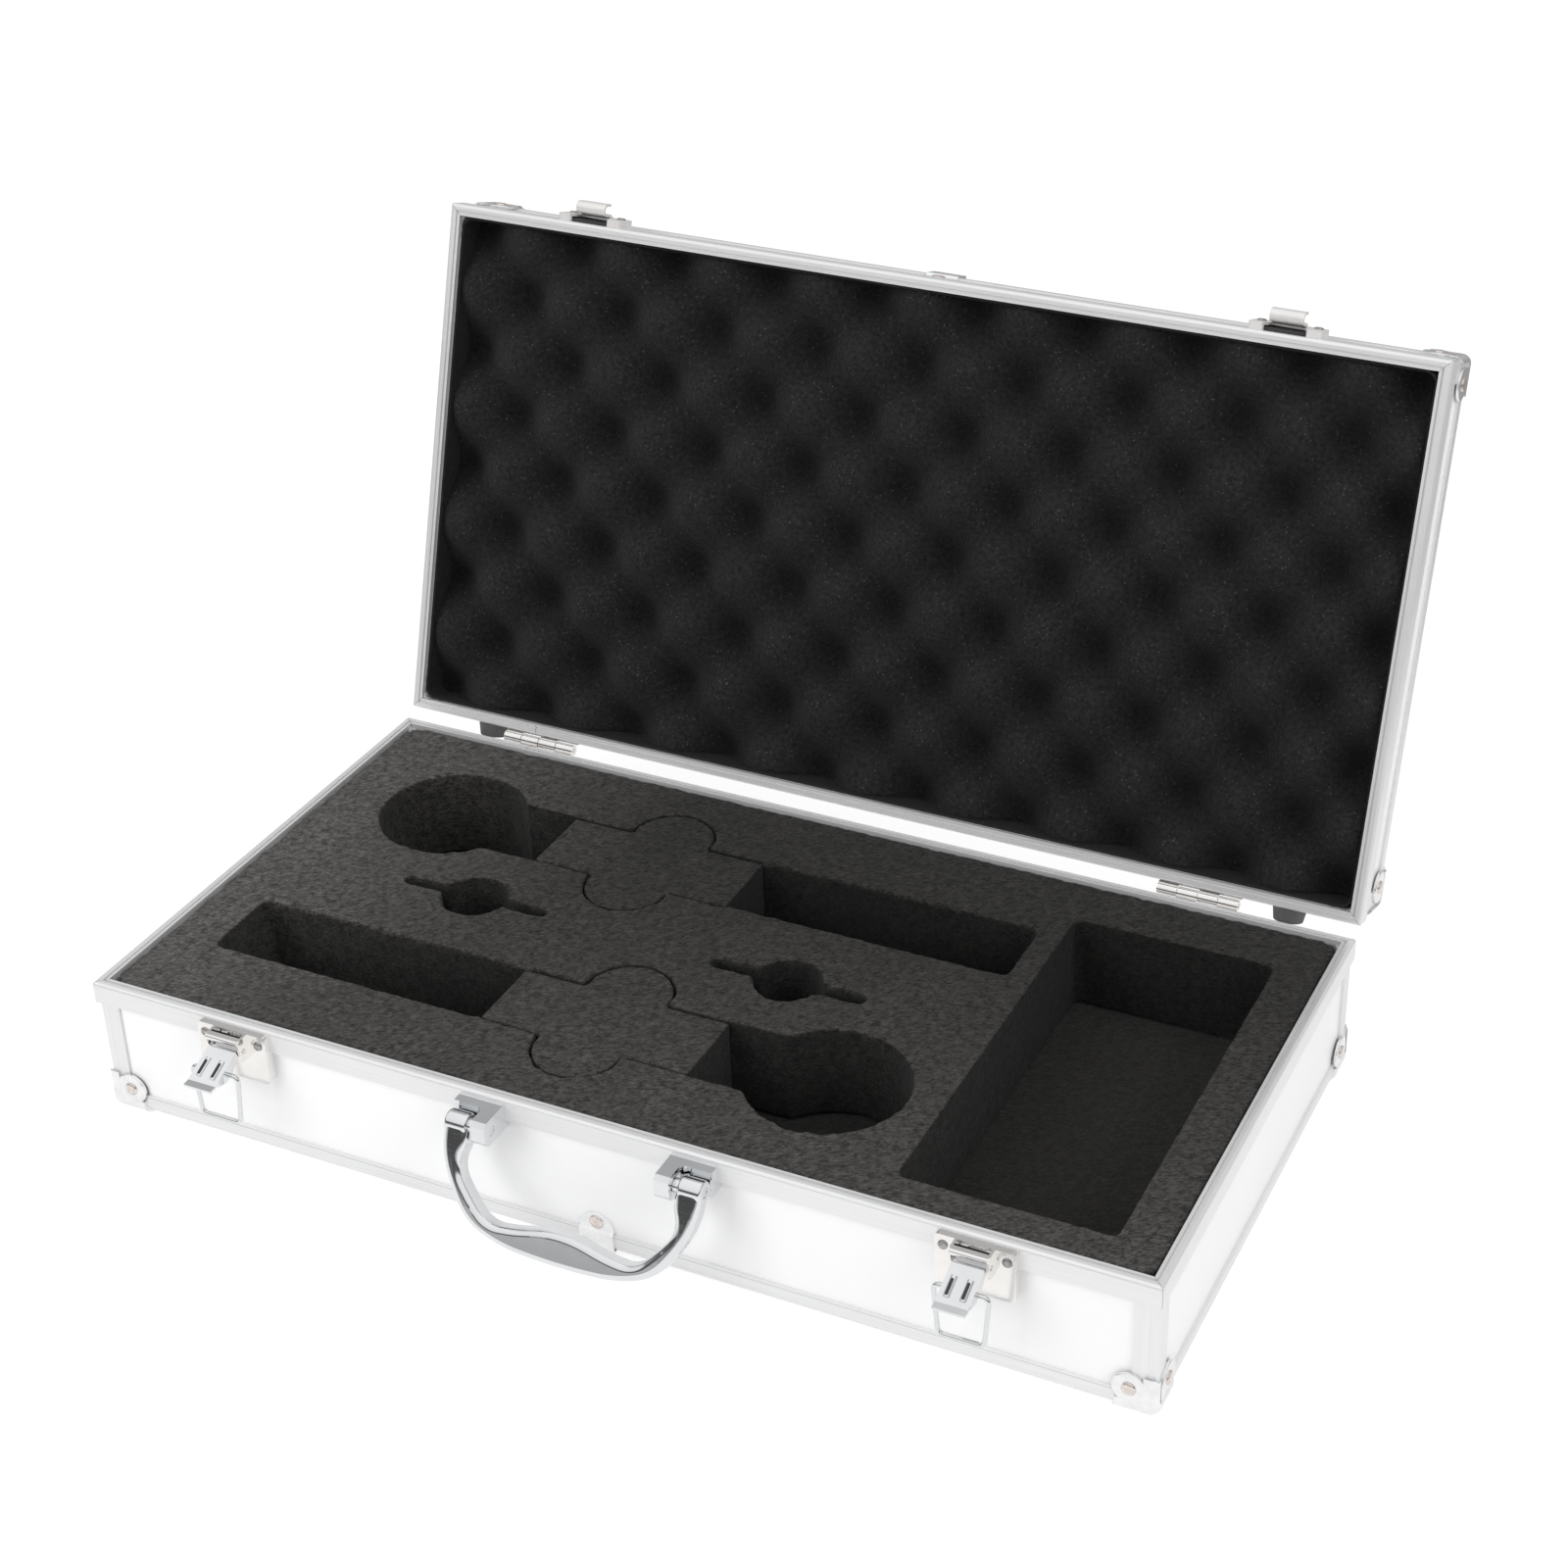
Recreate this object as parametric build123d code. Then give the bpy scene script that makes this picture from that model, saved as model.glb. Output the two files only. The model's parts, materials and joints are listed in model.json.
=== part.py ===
"""Microphone case: a shallow aluminium-framed case with a hinged lid, cut foam and draw latches.

Millimetres. X runs along the width, -Y is the handle side and +Z is up. Everything is drawn with
the origin on the floor under the middle of the base, and the lid is drawn closed and then swung
open on its hinge. Last, the whole is moved along Y so that the origin lies under its middle.
"""

import os
from math import atan2, cos, degrees, hypot, radians, sin

from build123d import *

# Case: outside sizes, measured over the two rims
case_width = 431.0
case_depth = 220.0
base_height = 57.0
lid_height = 33.0
rim_gap = 0.4

# Rim extrusion that caps the panels round the opening
rim_height = 9.0
rim_skirt = 1.9
rim_web = 2.0
rim_shoulder = 1.4
rim_groove = 0.8
rim_groove_inset = 1.1
rim_joint_from_end = 62.5
rim_joint_gap = 0.25

# Boards, angle edging and corner posts
panel_thickness = 2.8
angle_thickness = 1.0
edging_leg = 7.6
post_leg = 9.0
edge_radius = 2.4

# Pressed corner caps: the case stands on them
cap_thickness = 1.2
cap_reach = 16.0
cap_strip = 4.5
cap_lobe_centre = 9.5
cap_lobe_radius = 6.5
cap_play = 0.2

# Clips that hold the middle of the long edging
clip_width = 14.0
clip_height = 15.6
clip_thickness = 0.8
clip_underside = 10.0

# Rubber feet on the hinge side
foot_from_end = 32.5
foot_from_parting = 17.2
foot_root_radius = 8.0
foot_tip_radius = 6.0
foot_height = 11.0
foot_recess_radius = 3.2
foot_recess_depth = 6.0

# Hinges
hinge_from_end = 65.5
hinge_width = 34.0
hinge_out = 2.9
hinge_knuckles = 4
hinge_knuckle_gap = 0.3
hinge_barrel_radius = 2.3
hinge_pin_radius = 1.0
hinge_leaf = 1.0
hinge_leaf_reach = 8.6
hinge_play = 0.05
lid_open_angle = 107.7

# Draw latches
latch_from_end = 65.5
latch_plate_width = 30.0
latch_plate_height = 21.0
latch_plate_proud = 3.0
latch_plate_margin = 1.2
latch_sheet = 1.0
latch_corner = 1.5
cheek_gap = 12.8
cheek_out = 6.2
cheek_drop = 10.6
hood_depth = 3.0
hood_height = 2.5
pivot_out = 3.0
pivot_drop = 7.0
latch_pin_radius = 1.0
latch_play = 0.06
lever_width = 12.0
lever_length = 17.4
lever_barrel_radius = 2.2
lever_flange = 2.8
lever_lip = 3.0
lever_lip_angle = 20.0
lever_open_angle = 66.0
rib_radius = 1.3
rib_spacing = 6.0
rib_start = 7.0
rib_end = 15.0
spring_length = 6.2
spring_coils = 4
spring_radius = 1.75

# Wire loop of the latch
loop_pivot_along = 10.0
loop_pivot_in = 1.3
wire_radius = 0.9
loop_width_at_pivot = 20.4
loop_width_at_bar = 17.0
loop_bend = 2.2
loop_end_gap = 7.6

# Catch on the lid
catch_width = 29.0
catch_height = 12.0
hook_width = 13.5
hook_inner_radius = 1.6
hook_out = 3.25
hook_rise = 4.6
hook_lip = 3.0
hook_bar_seat = 0.3
hook_window_play = 0.35
hook_window_flare = 1.7

# Carrying handle
bracket_inner_x = 34.0
bracket_outer_x = 52.0
bracket_cheek_width = 5.9
bracket_web = 4.6
bracket_top_drop = 2.0
bracket_height = 10.5
bracket_out = 14.0
bracket_chamfer = 1.6
bracket_round = 3.0
bracket_scoop = 2.5
handle_pivot_out = 9.4
handle_arm_x = 47.0
handle_arm_width = 9.0
handle_thickness = 8.4
handle_rounding = 2.5
handle_drop = 41.2
handle_grip_top = 28.6
handle_grip_swell = 3.8
handle_pin_radius = 2.0
handle_eye_radius = 4.4
handle_eye_edge = 1.1
handle_boss_radius = 2.7
handle_play = 0.3
handle_rest_angle = 22.0

# Foam
foam_play = 0.3
foam_below_rim = 1.2
foam_corner = 6.0
pad_thickness = 12.0
plug_kerf = 0.35
plug_sink = 0.8
lid_foam_below_rim = 2.0
lid_wave_x = 45.2
lid_wave_y = 50.0
lid_hollow_depth = 14.0
lid_hollow_mouth_x = 42.0
lid_hollow_mouth_y = 46.5
lid_hollow_floor_x = 7.2
lid_hollow_floor_y = 8.0
mic_from_wall = 54.1
mic_from_end = 21.8
mic_head_from_centre = 110.9
mic_head_radius = 30.3
mic_neck_from_centre = 62.5
mic_neck_width = 35.4
mic_tail_near = 25.2
mic_tail_far = 144.5
mic_tail_width = 33.4
mic_body_width = 34.4
mic_lobe_from_centre = 18.0
mic_lobe_radius = 17.5
mic_lobe_off_axis = 19.0
clip_pocket_from_centre = 69.8
clip_pocket_y = 1.0
clip_pocket_radius = 13.0
clip_slot_length = 65.0
clip_slot_width = 5.0
bay_partition = 11.3
bay_from_end = 19.2
bay_from_front = 15.3
bay_from_back = 24.7
pocket_corner = 2.0

# Worked out from the sizes above
half_width = case_width / 2
half_depth = case_depth / 2
parting_z = cap_thickness + base_height
face_x = half_width - rim_skirt
face_y = half_depth - rim_skirt
body_x = face_x + angle_thickness
body_y = face_y + angle_thickness
inside_x = face_x - panel_thickness
inside_y = face_y - panel_thickness
inside_floor = angle_thickness + panel_thickness
rim_joint_x = rim_joint_from_end - half_width
foot_x = half_width - foot_from_end
hinge_x = half_width - hinge_from_end
latch_x = half_width - latch_from_end
hinge_y = half_depth + hinge_out
hinge_z = parting_z
plate_face_y = -half_depth - latch_plate_proud
pivot_y = plate_face_y - pivot_out
pivot_z = parting_z - pivot_drop
cheek_inner = cheek_gap / 2
handle_pivot_y = -half_depth - handle_pivot_out
handle_pivot_z = parting_z - bracket_top_drop - bracket_height / 2
mic_axis_y = inside_y - mic_from_wall
mic_centre_x = mic_from_end + mic_tail_far - inside_x
bay_left = mic_centre_x + mic_tail_far + bay_partition
bay_right = inside_x - bay_from_end
bay_front = bay_from_front - inside_y
bay_back = inside_y - bay_from_back


def block(x, y, z):
    """A box between three (low, high) ranges."""
    size = [high - low for low, high in (x, y, z)]
    middle = [(high + low) / 2 for low, high in (x, y, z)]
    return Pos(*middle) * Box(*size)


def centred(width, depth, z):
    """A box centred on the Z axis between two heights."""
    return block((-width / 2, width / 2), (-depth / 2, depth / 2), z)


def rod(radius, x_from, x_to):
    """A round bar along X through the origin's line."""
    return Pos((x_from + x_to) / 2, 0, 0) * Rot(0, 90, 0) * Cylinder(radius, x_to - x_from)


def side_profile(points, x_from, x_to):
    """A prism along X from an outline of (y, z) points."""
    outline = make_face(Polyline([(0, y, z) for y, z in points], close=True))
    return Pos(x_from, 0, 0) * extrude(outline, amount=x_to - x_from, dir=(1, 0, 0))


def upright_edges_at(shape, x, y):
    """The edges parallel to Z that stand at (x, y), whatever their signs."""
    found = shape.edges().filter_by(Axis.Z)
    return [e for e in found if abs(abs(e.center().X) - x) < 0.01 and abs(abs(e.center().Y) - y) < 0.01]


# ---- The two trays: drawn with the closed side at z = 0 and the opening at z = height ----


def tray_panels(height):
    """The floor board and the four walls that stand on it, under the rim's web."""
    walls = (inside_floor, height - rim_web)
    return {
        "bottom": centred(2 * face_x, 2 * face_y, (angle_thickness, inside_floor)),
        "front": block((-face_x, face_x), (-face_y, -inside_y), walls),
        "back": block((-face_x, face_x), (inside_y, face_y), walls),
        "left": block((-face_x, -inside_x), (-inside_y, inside_y), walls),
        "right": block((inside_x, face_x), (-inside_y, inside_y), walls),
    }


def tray_rim(height):
    """One extrusion folded round the opening: web over the panels, skirt outside, one butt joint."""
    rim = centred(case_width, case_depth, (height - rim_height, height))
    rim = fillet(upright_edges_at(rim, half_width, half_depth), rim_shoulder / 2)
    top = rim.faces().sort_by(Axis.Z)[-1]
    rim = fillet(top.edges(), rim_shoulder)
    rim -= centred(2 * face_x, 2 * face_y, (height - rim_height - 1, height - rim_web))
    rim -= centred(2 * inside_x, 2 * inside_y, (height - rim_height - 1, height + 1))
    groove_x = inside_x + rim_groove_inset
    groove_y = inside_y + rim_groove_inset
    groove = (height - rim_groove, height + 1)
    outer = centred(2 * (groove_x + rim_groove), 2 * (groove_y + rim_groove), groove)
    rim -= outer - centred(2 * groove_x, 2 * groove_y, groove)
    slit = (rim_joint_x - rim_joint_gap / 2, rim_joint_x + rim_joint_gap / 2)
    return rim - block(slit, (0, half_depth + 1), (0, height + 1))


def tray_edging():
    """The angle round the closed side's edges, as four lengths mitred at the corners."""
    ring = centred(2 * body_x, 2 * body_y, (0, edging_leg))
    ring = fillet(upright_edges_at(ring, body_x, body_y), edge_radius)
    ring = fillet(ring.faces().sort_by(Axis.Z)[0].edges(), edge_radius * 0.98)
    ring -= centred(2 * face_x, 2 * face_y, (angle_thickness, edging_leg + 1))
    ring -= centred(2 * (body_x - edging_leg), 2 * (body_y - edging_leg), (-1, edging_leg + 1))
    mitre = 2 * edging_leg
    lengths = {}
    for name, sign in (("front", -1), ("back", 1)):
        corners = [
            (-body_x, sign * body_y),
            (body_x, sign * body_y),
            (body_x - mitre, sign * (body_y - mitre)),
            (mitre - body_x, sign * (body_y - mitre)),
        ]
        lengths[name] = ring & extrude(make_face(Polyline(corners, close=True)), amount=edging_leg)
    for name, sign in (("left", -1), ("right", 1)):
        corners = [
            (sign * body_x, -body_y),
            (sign * body_x, body_y),
            (sign * (body_x - mitre), body_y - mitre),
            (sign * (body_x - mitre), mitre - body_y),
        ]
        lengths[name] = ring & extrude(make_face(Polyline(corners, close=True)), amount=edging_leg)
    return lengths


def corner_post(height):
    """The angle over one upright corner, at +X +Y, between the edging and the rim."""
    span = (edging_leg, height - rim_height)
    post = block((body_x - post_leg, body_x), (body_y - post_leg, body_y), span)
    post = fillet(upright_edges_at(post, body_x, body_y), edge_radius)
    return post - block((0, face_x), (0, face_y), (0, height))


def cap_outline(plane):
    """The three-lobed outline of one wing of a corner cap, from its corner outwards."""
    lobe = Pos(-cap_lobe_centre, -cap_lobe_centre) * Circle(cap_lobe_radius)
    long_strip = Pos(-cap_reach / 2, -cap_strip / 2) * RectangleRounded(cap_reach, cap_strip, cap_strip * 0.3)
    tall_strip = Pos(-cap_strip / 2, -cap_reach / 2) * RectangleRounded(cap_strip, cap_reach, cap_strip * 0.3)
    heart = Pos(-cap_lobe_centre / 2, -cap_lobe_centre / 2) * Rectangle(cap_lobe_centre, cap_lobe_centre)
    edge = 2 * cap_thickness
    corner = Pos(edge / 2 - cap_strip / 2, edge / 2 - cap_strip / 2) * Rectangle(cap_strip + edge, cap_strip + edge)
    long_rim = Pos(-cap_reach / 2 + cap_strip * 0.15, 0) * Rectangle(cap_reach - cap_strip * 0.3, edge)
    tall_rim = Pos(0, -cap_reach / 2 + cap_strip * 0.15) * Rectangle(edge, cap_reach - cap_strip * 0.3)
    return plane * (lobe + long_strip + tall_strip + heart + corner + long_rim + tall_rim)


def corner_cap():
    """A pressed cap over the corner at +X +Y and z = 0: three wings, a ball corner, three lobes."""
    reach = cap_reach + 1
    low = (body_x - reach, body_y - reach)
    shell = block(
        (low[0], body_x + cap_thickness), (low[1], body_y + cap_thickness), (-cap_thickness, reach)
    )
    outer_edges = shell.edges().filter_by(Axis.Z).sort_by_distance((body_x, body_y, 0))[:1]
    outer_edges += shell.edges().filter_by(Axis.X).sort_by_distance((body_x, body_y, 0))[:1]
    outer_edges += shell.edges().filter_by(Axis.Y).sort_by_distance((body_x, body_y, 0))[:1]
    shell = fillet(outer_edges, edge_radius + cap_thickness)
    hollow = block((low[0] - 1, body_x), (low[1] - 1, body_y), (0, reach + 1))
    hollow_edges = hollow.edges().filter_by(Axis.Z).sort_by_distance((body_x, body_y, 0))[:1]
    hollow_edges += hollow.edges().filter_by(Axis.X).sort_by_distance((body_x, body_y, 0))[:1]
    hollow_edges += hollow.edges().filter_by(Axis.Y).sort_by_distance((body_x, body_y, 0))[:1]
    shell -= fillet(hollow_edges, edge_radius - cap_play)
    depth = cap_thickness + cap_strip
    corner = Vector(body_x, body_y, 0)
    wings = (
        Plane(corner + Vector(0, 0, -cap_thickness), x_dir=(1, 0, 0), z_dir=(0, 0, 1)),
        Plane(corner + Vector(0, cap_thickness, 0), x_dir=(1, 0, 0), z_dir=(0, -1, 0)),
        Plane(corner + Vector(cap_thickness, 0, 0), x_dir=(0, 0, -1), z_dir=(-1, 0, 0)),
    )
    mask = None
    for wing in wings:
        prism = extrude(cap_outline(wing), amount=depth, dir=wing.z_dir)
        mask = prism if mask is None else mask + prism
    return shell & mask


def edging_clip():
    """A strap at the middle of the front edging, with a half-round tab up the panel."""
    out = body_y + clip_thickness
    step = edging_leg + clip_thickness
    profile = [
        (-body_y + clip_underside, -clip_thickness),
        (-out, -clip_thickness),
        (-out, edging_leg),
        (-face_y - clip_thickness, step),
        (-face_y - clip_thickness, clip_height),
        (-face_y, clip_height),
        (-face_y, edging_leg),
        (-body_y, edging_leg),
        (-body_y, 0),
        (-body_y + clip_underside, 0),
    ]
    strap = side_profile(profile, -clip_width / 2, clip_width / 2)
    straight = clip_height - clip_width / 2
    tab = Pos(0, straight / 2 - clip_thickness) * Rectangle(clip_width, straight + 2 * clip_thickness)
    tab += Pos(0, straight) * Circle(clip_width / 2)
    outline = Plane(origin=(0, -out, 0), x_dir=(1, 0, 0), z_dir=(0, -1, 0)) * tab
    return strap & extrude(outline, amount=clip_underside + clip_thickness + 1, dir=(0, 1, 0))


def tray_feet(height):
    """Two rubber feet on the back wall, hollowed for their screws."""
    foot = Cone(foot_root_radius, foot_tip_radius, foot_height, align=(Align.CENTER, Align.CENTER, Align.MIN))
    recess = Cylinder(foot_recess_radius, foot_recess_depth, align=(Align.CENTER, Align.CENTER, Align.MAX))
    foot -= Pos(0, 0, foot_height) * recess
    feet = []
    for x in (-foot_x, foot_x):
        feet.append(Pos(x, face_y, height - foot_from_parting) * Rot(-90, 0, 0) * foot)
    return Compound(feet)


def four_corners(shape):
    """A shape drawn at +X +Y, and its three mirror images, by corner name."""
    front = mirror(shape, about=Plane.XZ)
    return {
        "back_right": shape,
        "back_left": mirror(shape, about=Plane.YZ),
        "front_right": front,
        "front_left": mirror(front, about=Plane.YZ),
    }


def tray(height, prefix, bottom_name):
    """All pieces of the base or the lid that are cut to the tray's height, by node name."""
    pieces = {}
    for name, panel in tray_panels(height).items():
        side = bottom_name if name == "bottom" else name
        pieces[f"{prefix}_{side}_panel"] = panel
    pieces[f"{prefix}_rim"] = tray_rim(height)
    for name, length in tray_edging().items():
        pieces[f"{prefix}_{name}_edging"] = length
    pieces[f"{prefix}_corner_posts"] = Compound(list(four_corners(corner_post(height)).values()))
    for name, cap in four_corners(corner_cap()).items():
        pieces[f"{prefix}_{name}_cap"] = cap
    clip = edging_clip()
    pieces[f"{prefix}_clips"] = Compound([clip, mirror(clip, about=Plane.XZ)])
    pieces[f"{prefix}_feet"] = tray_feet(height)
    return pieces


def as_base(shape):
    """Stand a tray piece on its corner caps."""
    return Pos(0, 0, cap_thickness) * shape


def as_lid(shape):
    """Turn a tray piece over, closed on the base."""
    return Pos(0, 0, parting_z + lid_height) * mirror(shape, about=Plane.XY)


def swing_open(shape):
    """Swing a closed lid piece about the hinge to where it rests open."""
    axis = Pos(0, hinge_y, hinge_z)
    return axis * Rot(-lid_open_angle, 0, 0) * axis.inverse() * shape


# ---- Hinges ----


def hinge_leaf_piece(knuckles, up):
    """One leaf, drawn about the pin's axis: up is 1 for the lid's leaf and -1 for the base's."""
    pitch = hinge_width / hinge_knuckles
    wall_y = -hinge_out
    plate_start = hinge_barrel_radius + 2 * hinge_knuckle_gap
    reach = sorted((up * plate_start, up * hinge_leaf_reach))
    leaf = block((-hinge_width / 2, hinge_width / 2), (wall_y, wall_y + hinge_leaf), reach)
    for index in knuckles:
        x_from = -hinge_width / 2 + index * pitch + hinge_knuckle_gap / 2
        x_to = x_from + pitch - hinge_knuckle_gap
        leaf += rod(hinge_barrel_radius, x_from, x_to)
        finger = sorted((0, up * hinge_leaf_reach))
        leaf += block((x_from, x_to), (wall_y, wall_y + hinge_leaf), finger)
    return leaf - rod(hinge_pin_radius + hinge_play, -hinge_width, hinge_width)


def hinge_pieces():
    """Both hinges: base leaves, lid leaves (closed) and their pins, by node name."""
    pieces = {}
    pins = []
    base_knuckles = range(1, hinge_knuckles, 2)
    lid_knuckles = range(0, hinge_knuckles, 2)
    for side, x in (("left", -hinge_x), ("right", hinge_x)):
        place = Pos(x, hinge_y, hinge_z)
        pieces[f"{side}_hinge_base_leaf"] = place * hinge_leaf_piece(base_knuckles, -1)
        pieces[f"{side}_hinge_lid_leaf"] = place * hinge_leaf_piece(lid_knuckles, 1)
        pins.append(place * rod(hinge_pin_radius, -hinge_width / 2, hinge_width / 2))
    pieces["hinge_pins"] = Compound(pins)
    return pieces


# ---- Draw latches: drawn at x = 0 and moved to each side ----


def pressed_pan(width, z_from, z_to, rim_edge):
    """A shallow pan with turned edges that bears on the rim and on the panel past rim_edge."""
    outer = block((-width / 2, width / 2), (plate_face_y, -face_y), (z_from, z_to))
    outer = fillet(outer.edges().filter_by(Axis.Y), latch_corner)
    hollow = block(
        (-width / 2 + latch_sheet, width / 2 - latch_sheet),
        (plate_face_y + latch_sheet, 0),
        (z_from + latch_sheet, z_to - latch_sheet),
    )
    over_rim = sorted((rim_edge, parting_z))
    return outer - hollow - block((-width, width), (-half_depth, 0), over_rim)


def latch_plate():
    """The pan with its window, the cheeks that hold the lever's pin, and the hood that stops the lever."""
    top = parting_z - latch_plate_margin
    plate = pressed_pan(latch_plate_width, top - latch_plate_height, top, parting_z - rim_gap / 2 - rim_height)
    tip_y = plate_face_y - cheek_out
    cheek = [
        (plate_face_y + latch_sheet / 2, top),
        (tip_y + hood_depth / 2, top),
        (tip_y, top - hood_height / 2),
        (tip_y + 2 * latch_sheet, top - cheek_drop + latch_sheet),
        (plate_face_y + latch_sheet / 2, top - cheek_drop),
    ]
    for low, high in ((-cheek_inner - latch_sheet, -cheek_inner), (cheek_inner, cheek_inner + latch_sheet)):
        plate += side_profile(cheek, low, high)
    plate -= block(
        (-cheek_inner, cheek_inner),
        (plate_face_y - 1, plate_face_y + 2 * latch_sheet),
        (top - cheek_drop + latch_sheet, top - 2 * latch_sheet),
    )
    hood = block(
        (-cheek_inner - latch_sheet / 2, cheek_inner + latch_sheet / 2),
        (tip_y, tip_y + hood_depth),
        (top - hood_height, top),
    )
    front_edges = hood.edges().filter_by(Axis.X).group_by(Axis.Y)[0]
    plate += fillet(front_edges, hood_height * 0.4)
    bore = rod(latch_pin_radius + latch_play / 2, -latch_plate_width, latch_plate_width)
    return plate - Pos(0, pivot_y, pivot_z) * bore


def latch_lever():
    """The channel lever, closed and hanging from its pin at the origin: ribs, flanges and lip."""
    half = lever_width / 2
    face = -lever_barrel_radius
    web = block((-half, half), (face, face + latch_sheet), (-lever_length, 0))
    lip = block((-half, half), (0, latch_sheet), (-lever_lip, latch_sheet / 2))
    lever = web + Pos(0, face, -lever_length) * Rot(-lever_lip_angle, 0, 0) * lip
    flange = [
        (face, 0),
        (face, -lever_length + 1),
        (face + 2 * latch_sheet, -lever_length + 1),
        (lever_flange, -loop_pivot_along - 2.2),
        (lever_flange, -loop_pivot_along + 2.2),
        (latch_sheet, -lever_barrel_radius),
        (latch_sheet, 0),
    ]
    for low, high in ((-half, -half + latch_sheet), (half - latch_sheet, half)):
        lever += side_profile(flange, low, high)
    for low, high in ((-half, -spring_length / 2 - 0.2), (spring_length / 2 + 0.2, half)):
        lever += rod(lever_barrel_radius, low, high)
    for x in (-rib_spacing / 2, rib_spacing / 2):
        rib = Cylinder(rib_radius, rib_end - rib_start)
        lever += Pos(x, face + rib_radius / 3, -(rib_start + rib_end) / 2) * rib
    channel = block(
        (-half + latch_sheet, half - latch_sheet),
        (face + latch_sheet, lever_flange + 1),
        (-lever_length + 1, -lever_barrel_radius - 0.1),
    )
    lever -= channel
    lever -= rod(latch_pin_radius + latch_play, -lever_width, lever_width)
    spring_room = rod(spring_radius + 0.3, -spring_length / 2 - 0.2, spring_length / 2 + 0.2)
    lever -= spring_room
    holes = rod(wire_radius + latch_play, -lever_width, lever_width)
    return lever - Pos(0, loop_pivot_in, -loop_pivot_along) * holes


def latch_spring():
    """The torsion spring round the pin, as its stack of coils."""
    pitch = spring_length / spring_coils
    wire = pitch / 2
    bore = latch_pin_radius + latch_play
    start = -spring_length / 2
    outline = [(start, bore)]
    for index in range(spring_coils):
        x = start + index * pitch
        outline += [(x, spring_radius - wire / 2), (x + wire, spring_radius)]
    outline += [(start + spring_length, spring_radius - wire / 2), (start + spring_length, bore)]
    return revolve(make_face(Polyline(outline, close=True)), Axis.X)


def catch_bar_seat():
    """Where the wire's bar lies in the closed catch, as (y, z)."""
    bar_z = parting_z + hook_rise - hook_inner_radius + wire_radius + hook_bar_seat
    return plate_face_y - hook_out, bar_z


def loop_length():
    """Pivot to bar, so that the loop reaches the catch when the lever is down."""
    bar_y, bar_z = catch_bar_seat()
    return hypot(bar_y - (pivot_y + loop_pivot_in), bar_z - (pivot_z - loop_pivot_along))


def loop_swing_angle():
    """How far the loop turns in space between hanging and lying in the catch."""
    bar_y, bar_z = catch_bar_seat()
    lean = atan2(pivot_y + loop_pivot_in - bar_y, bar_z - (pivot_z - loop_pivot_along))
    return 180 - degrees(lean)


def latch_loop():
    """The bent wire, hanging from its pivot at the origin."""
    top = loop_width_at_pivot / 2
    low = loop_width_at_bar / 2
    end = loop_end_gap / 2
    length = loop_length()
    corners = [(-end, 0, 0), (-top, 0, 0), (-low, 0, -length), (low, 0, -length), (top, 0, 0), (end, 0, 0)]
    path = FilletPolyline(corners, radius=loop_bend)
    section = Plane(origin=path @ 0, z_dir=path % 0) * Circle(wire_radius)
    return sweep(section, path=path)


def lever_pin_to_loop():
    """The loop's pivot from the lever's pin with the lever open, as (y, z)."""
    turn = radians(-lever_open_angle)
    y, z = loop_pivot_in, -loop_pivot_along
    return y * cos(turn) - z * sin(turn), y * sin(turn) + z * cos(turn)


def lid_catch():
    """The catch, on the closed lid: a pan with a tongue rolled into a hook for the loop's bar."""
    low = parting_z + latch_plate_margin
    catch = pressed_pan(catch_width, low, low + catch_height, parting_z + rim_gap / 2 + rim_height)
    half = hook_width / 2
    window = hook_rise + 2 * hook_inner_radius + latch_sheet
    narrow = half + hook_window_play
    wide = narrow + hook_window_flare
    opening = [(-wide, low - 1), (-wide, low), (-narrow, parting_z + hook_rise), (-narrow, parting_z + window)]
    opening += [(-x, z) for x, z in reversed(opening)]
    opening = Plane(origin=(0, -half_depth, 0), x_dir=(1, 0, 0), z_dir=(0, -1, 0)) * Polyline(opening, close=True)
    catch -= extrude(make_face(opening), amount=latch_plate_proud + 1, dir=(0, -1, 0))
    centre_y = plate_face_y - hook_out
    centre_z = parting_z + hook_rise
    outer = hook_inner_radius + latch_sheet
    roll = rod(outer, -half, half) - rod(hook_inner_radius, -half, half)
    roll &= block((-half, half), (-outer, outer), (-outer, 0))
    hook = Pos(0, centre_y, centre_z) * roll
    lip_y = (centre_y - outer, centre_y - hook_inner_radius)
    hook += block((-half, half), lip_y, (centre_z, centre_z + hook_lip))
    near = centre_y + hook_inner_radius
    far = centre_y + outer
    tongue = [
        (near, centre_z),
        (far, centre_z),
        (far, centre_z + hook_inner_radius),
        (plate_face_y + latch_sheet, parting_z + window + latch_sheet),
        (plate_face_y, parting_z + window + 2 * latch_sheet),
        (near, centre_z + 2 * hook_inner_radius),
    ]
    return catch + hook + side_profile(tongue, -half, half)


def latch_pieces():
    """Plates, pins, springs, levers and loops, placed as they rest open, by node name."""
    pieces = {}
    pins = []
    springs = []
    loop_y, loop_z = lever_pin_to_loop()
    pin_reach = cheek_inner + latch_sheet + 0.3
    plate = latch_plate()
    lever = Rot(-lever_open_angle, 0, 0) * latch_lever()
    loop = latch_loop()
    for side, x in (("left", -latch_x), ("right", latch_x)):
        pin_place = Pos(x, pivot_y, pivot_z)
        pieces[f"{side}_latch_plate"] = Pos(x, 0, 0) * plate
        pieces[f"{side}_latch_lever"] = pin_place * lever
        pieces[f"{side}_latch_loop"] = Pos(x, pivot_y + loop_y, pivot_z + loop_z) * loop
        pins.append(pin_place * rod(latch_pin_radius, -pin_reach, pin_reach))
        springs.append(pin_place * latch_spring())
    pieces["latch_pins"] = Compound(pins)
    pieces["latch_springs"] = Compound(springs)
    return pieces


# ---- Handle ----


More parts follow.
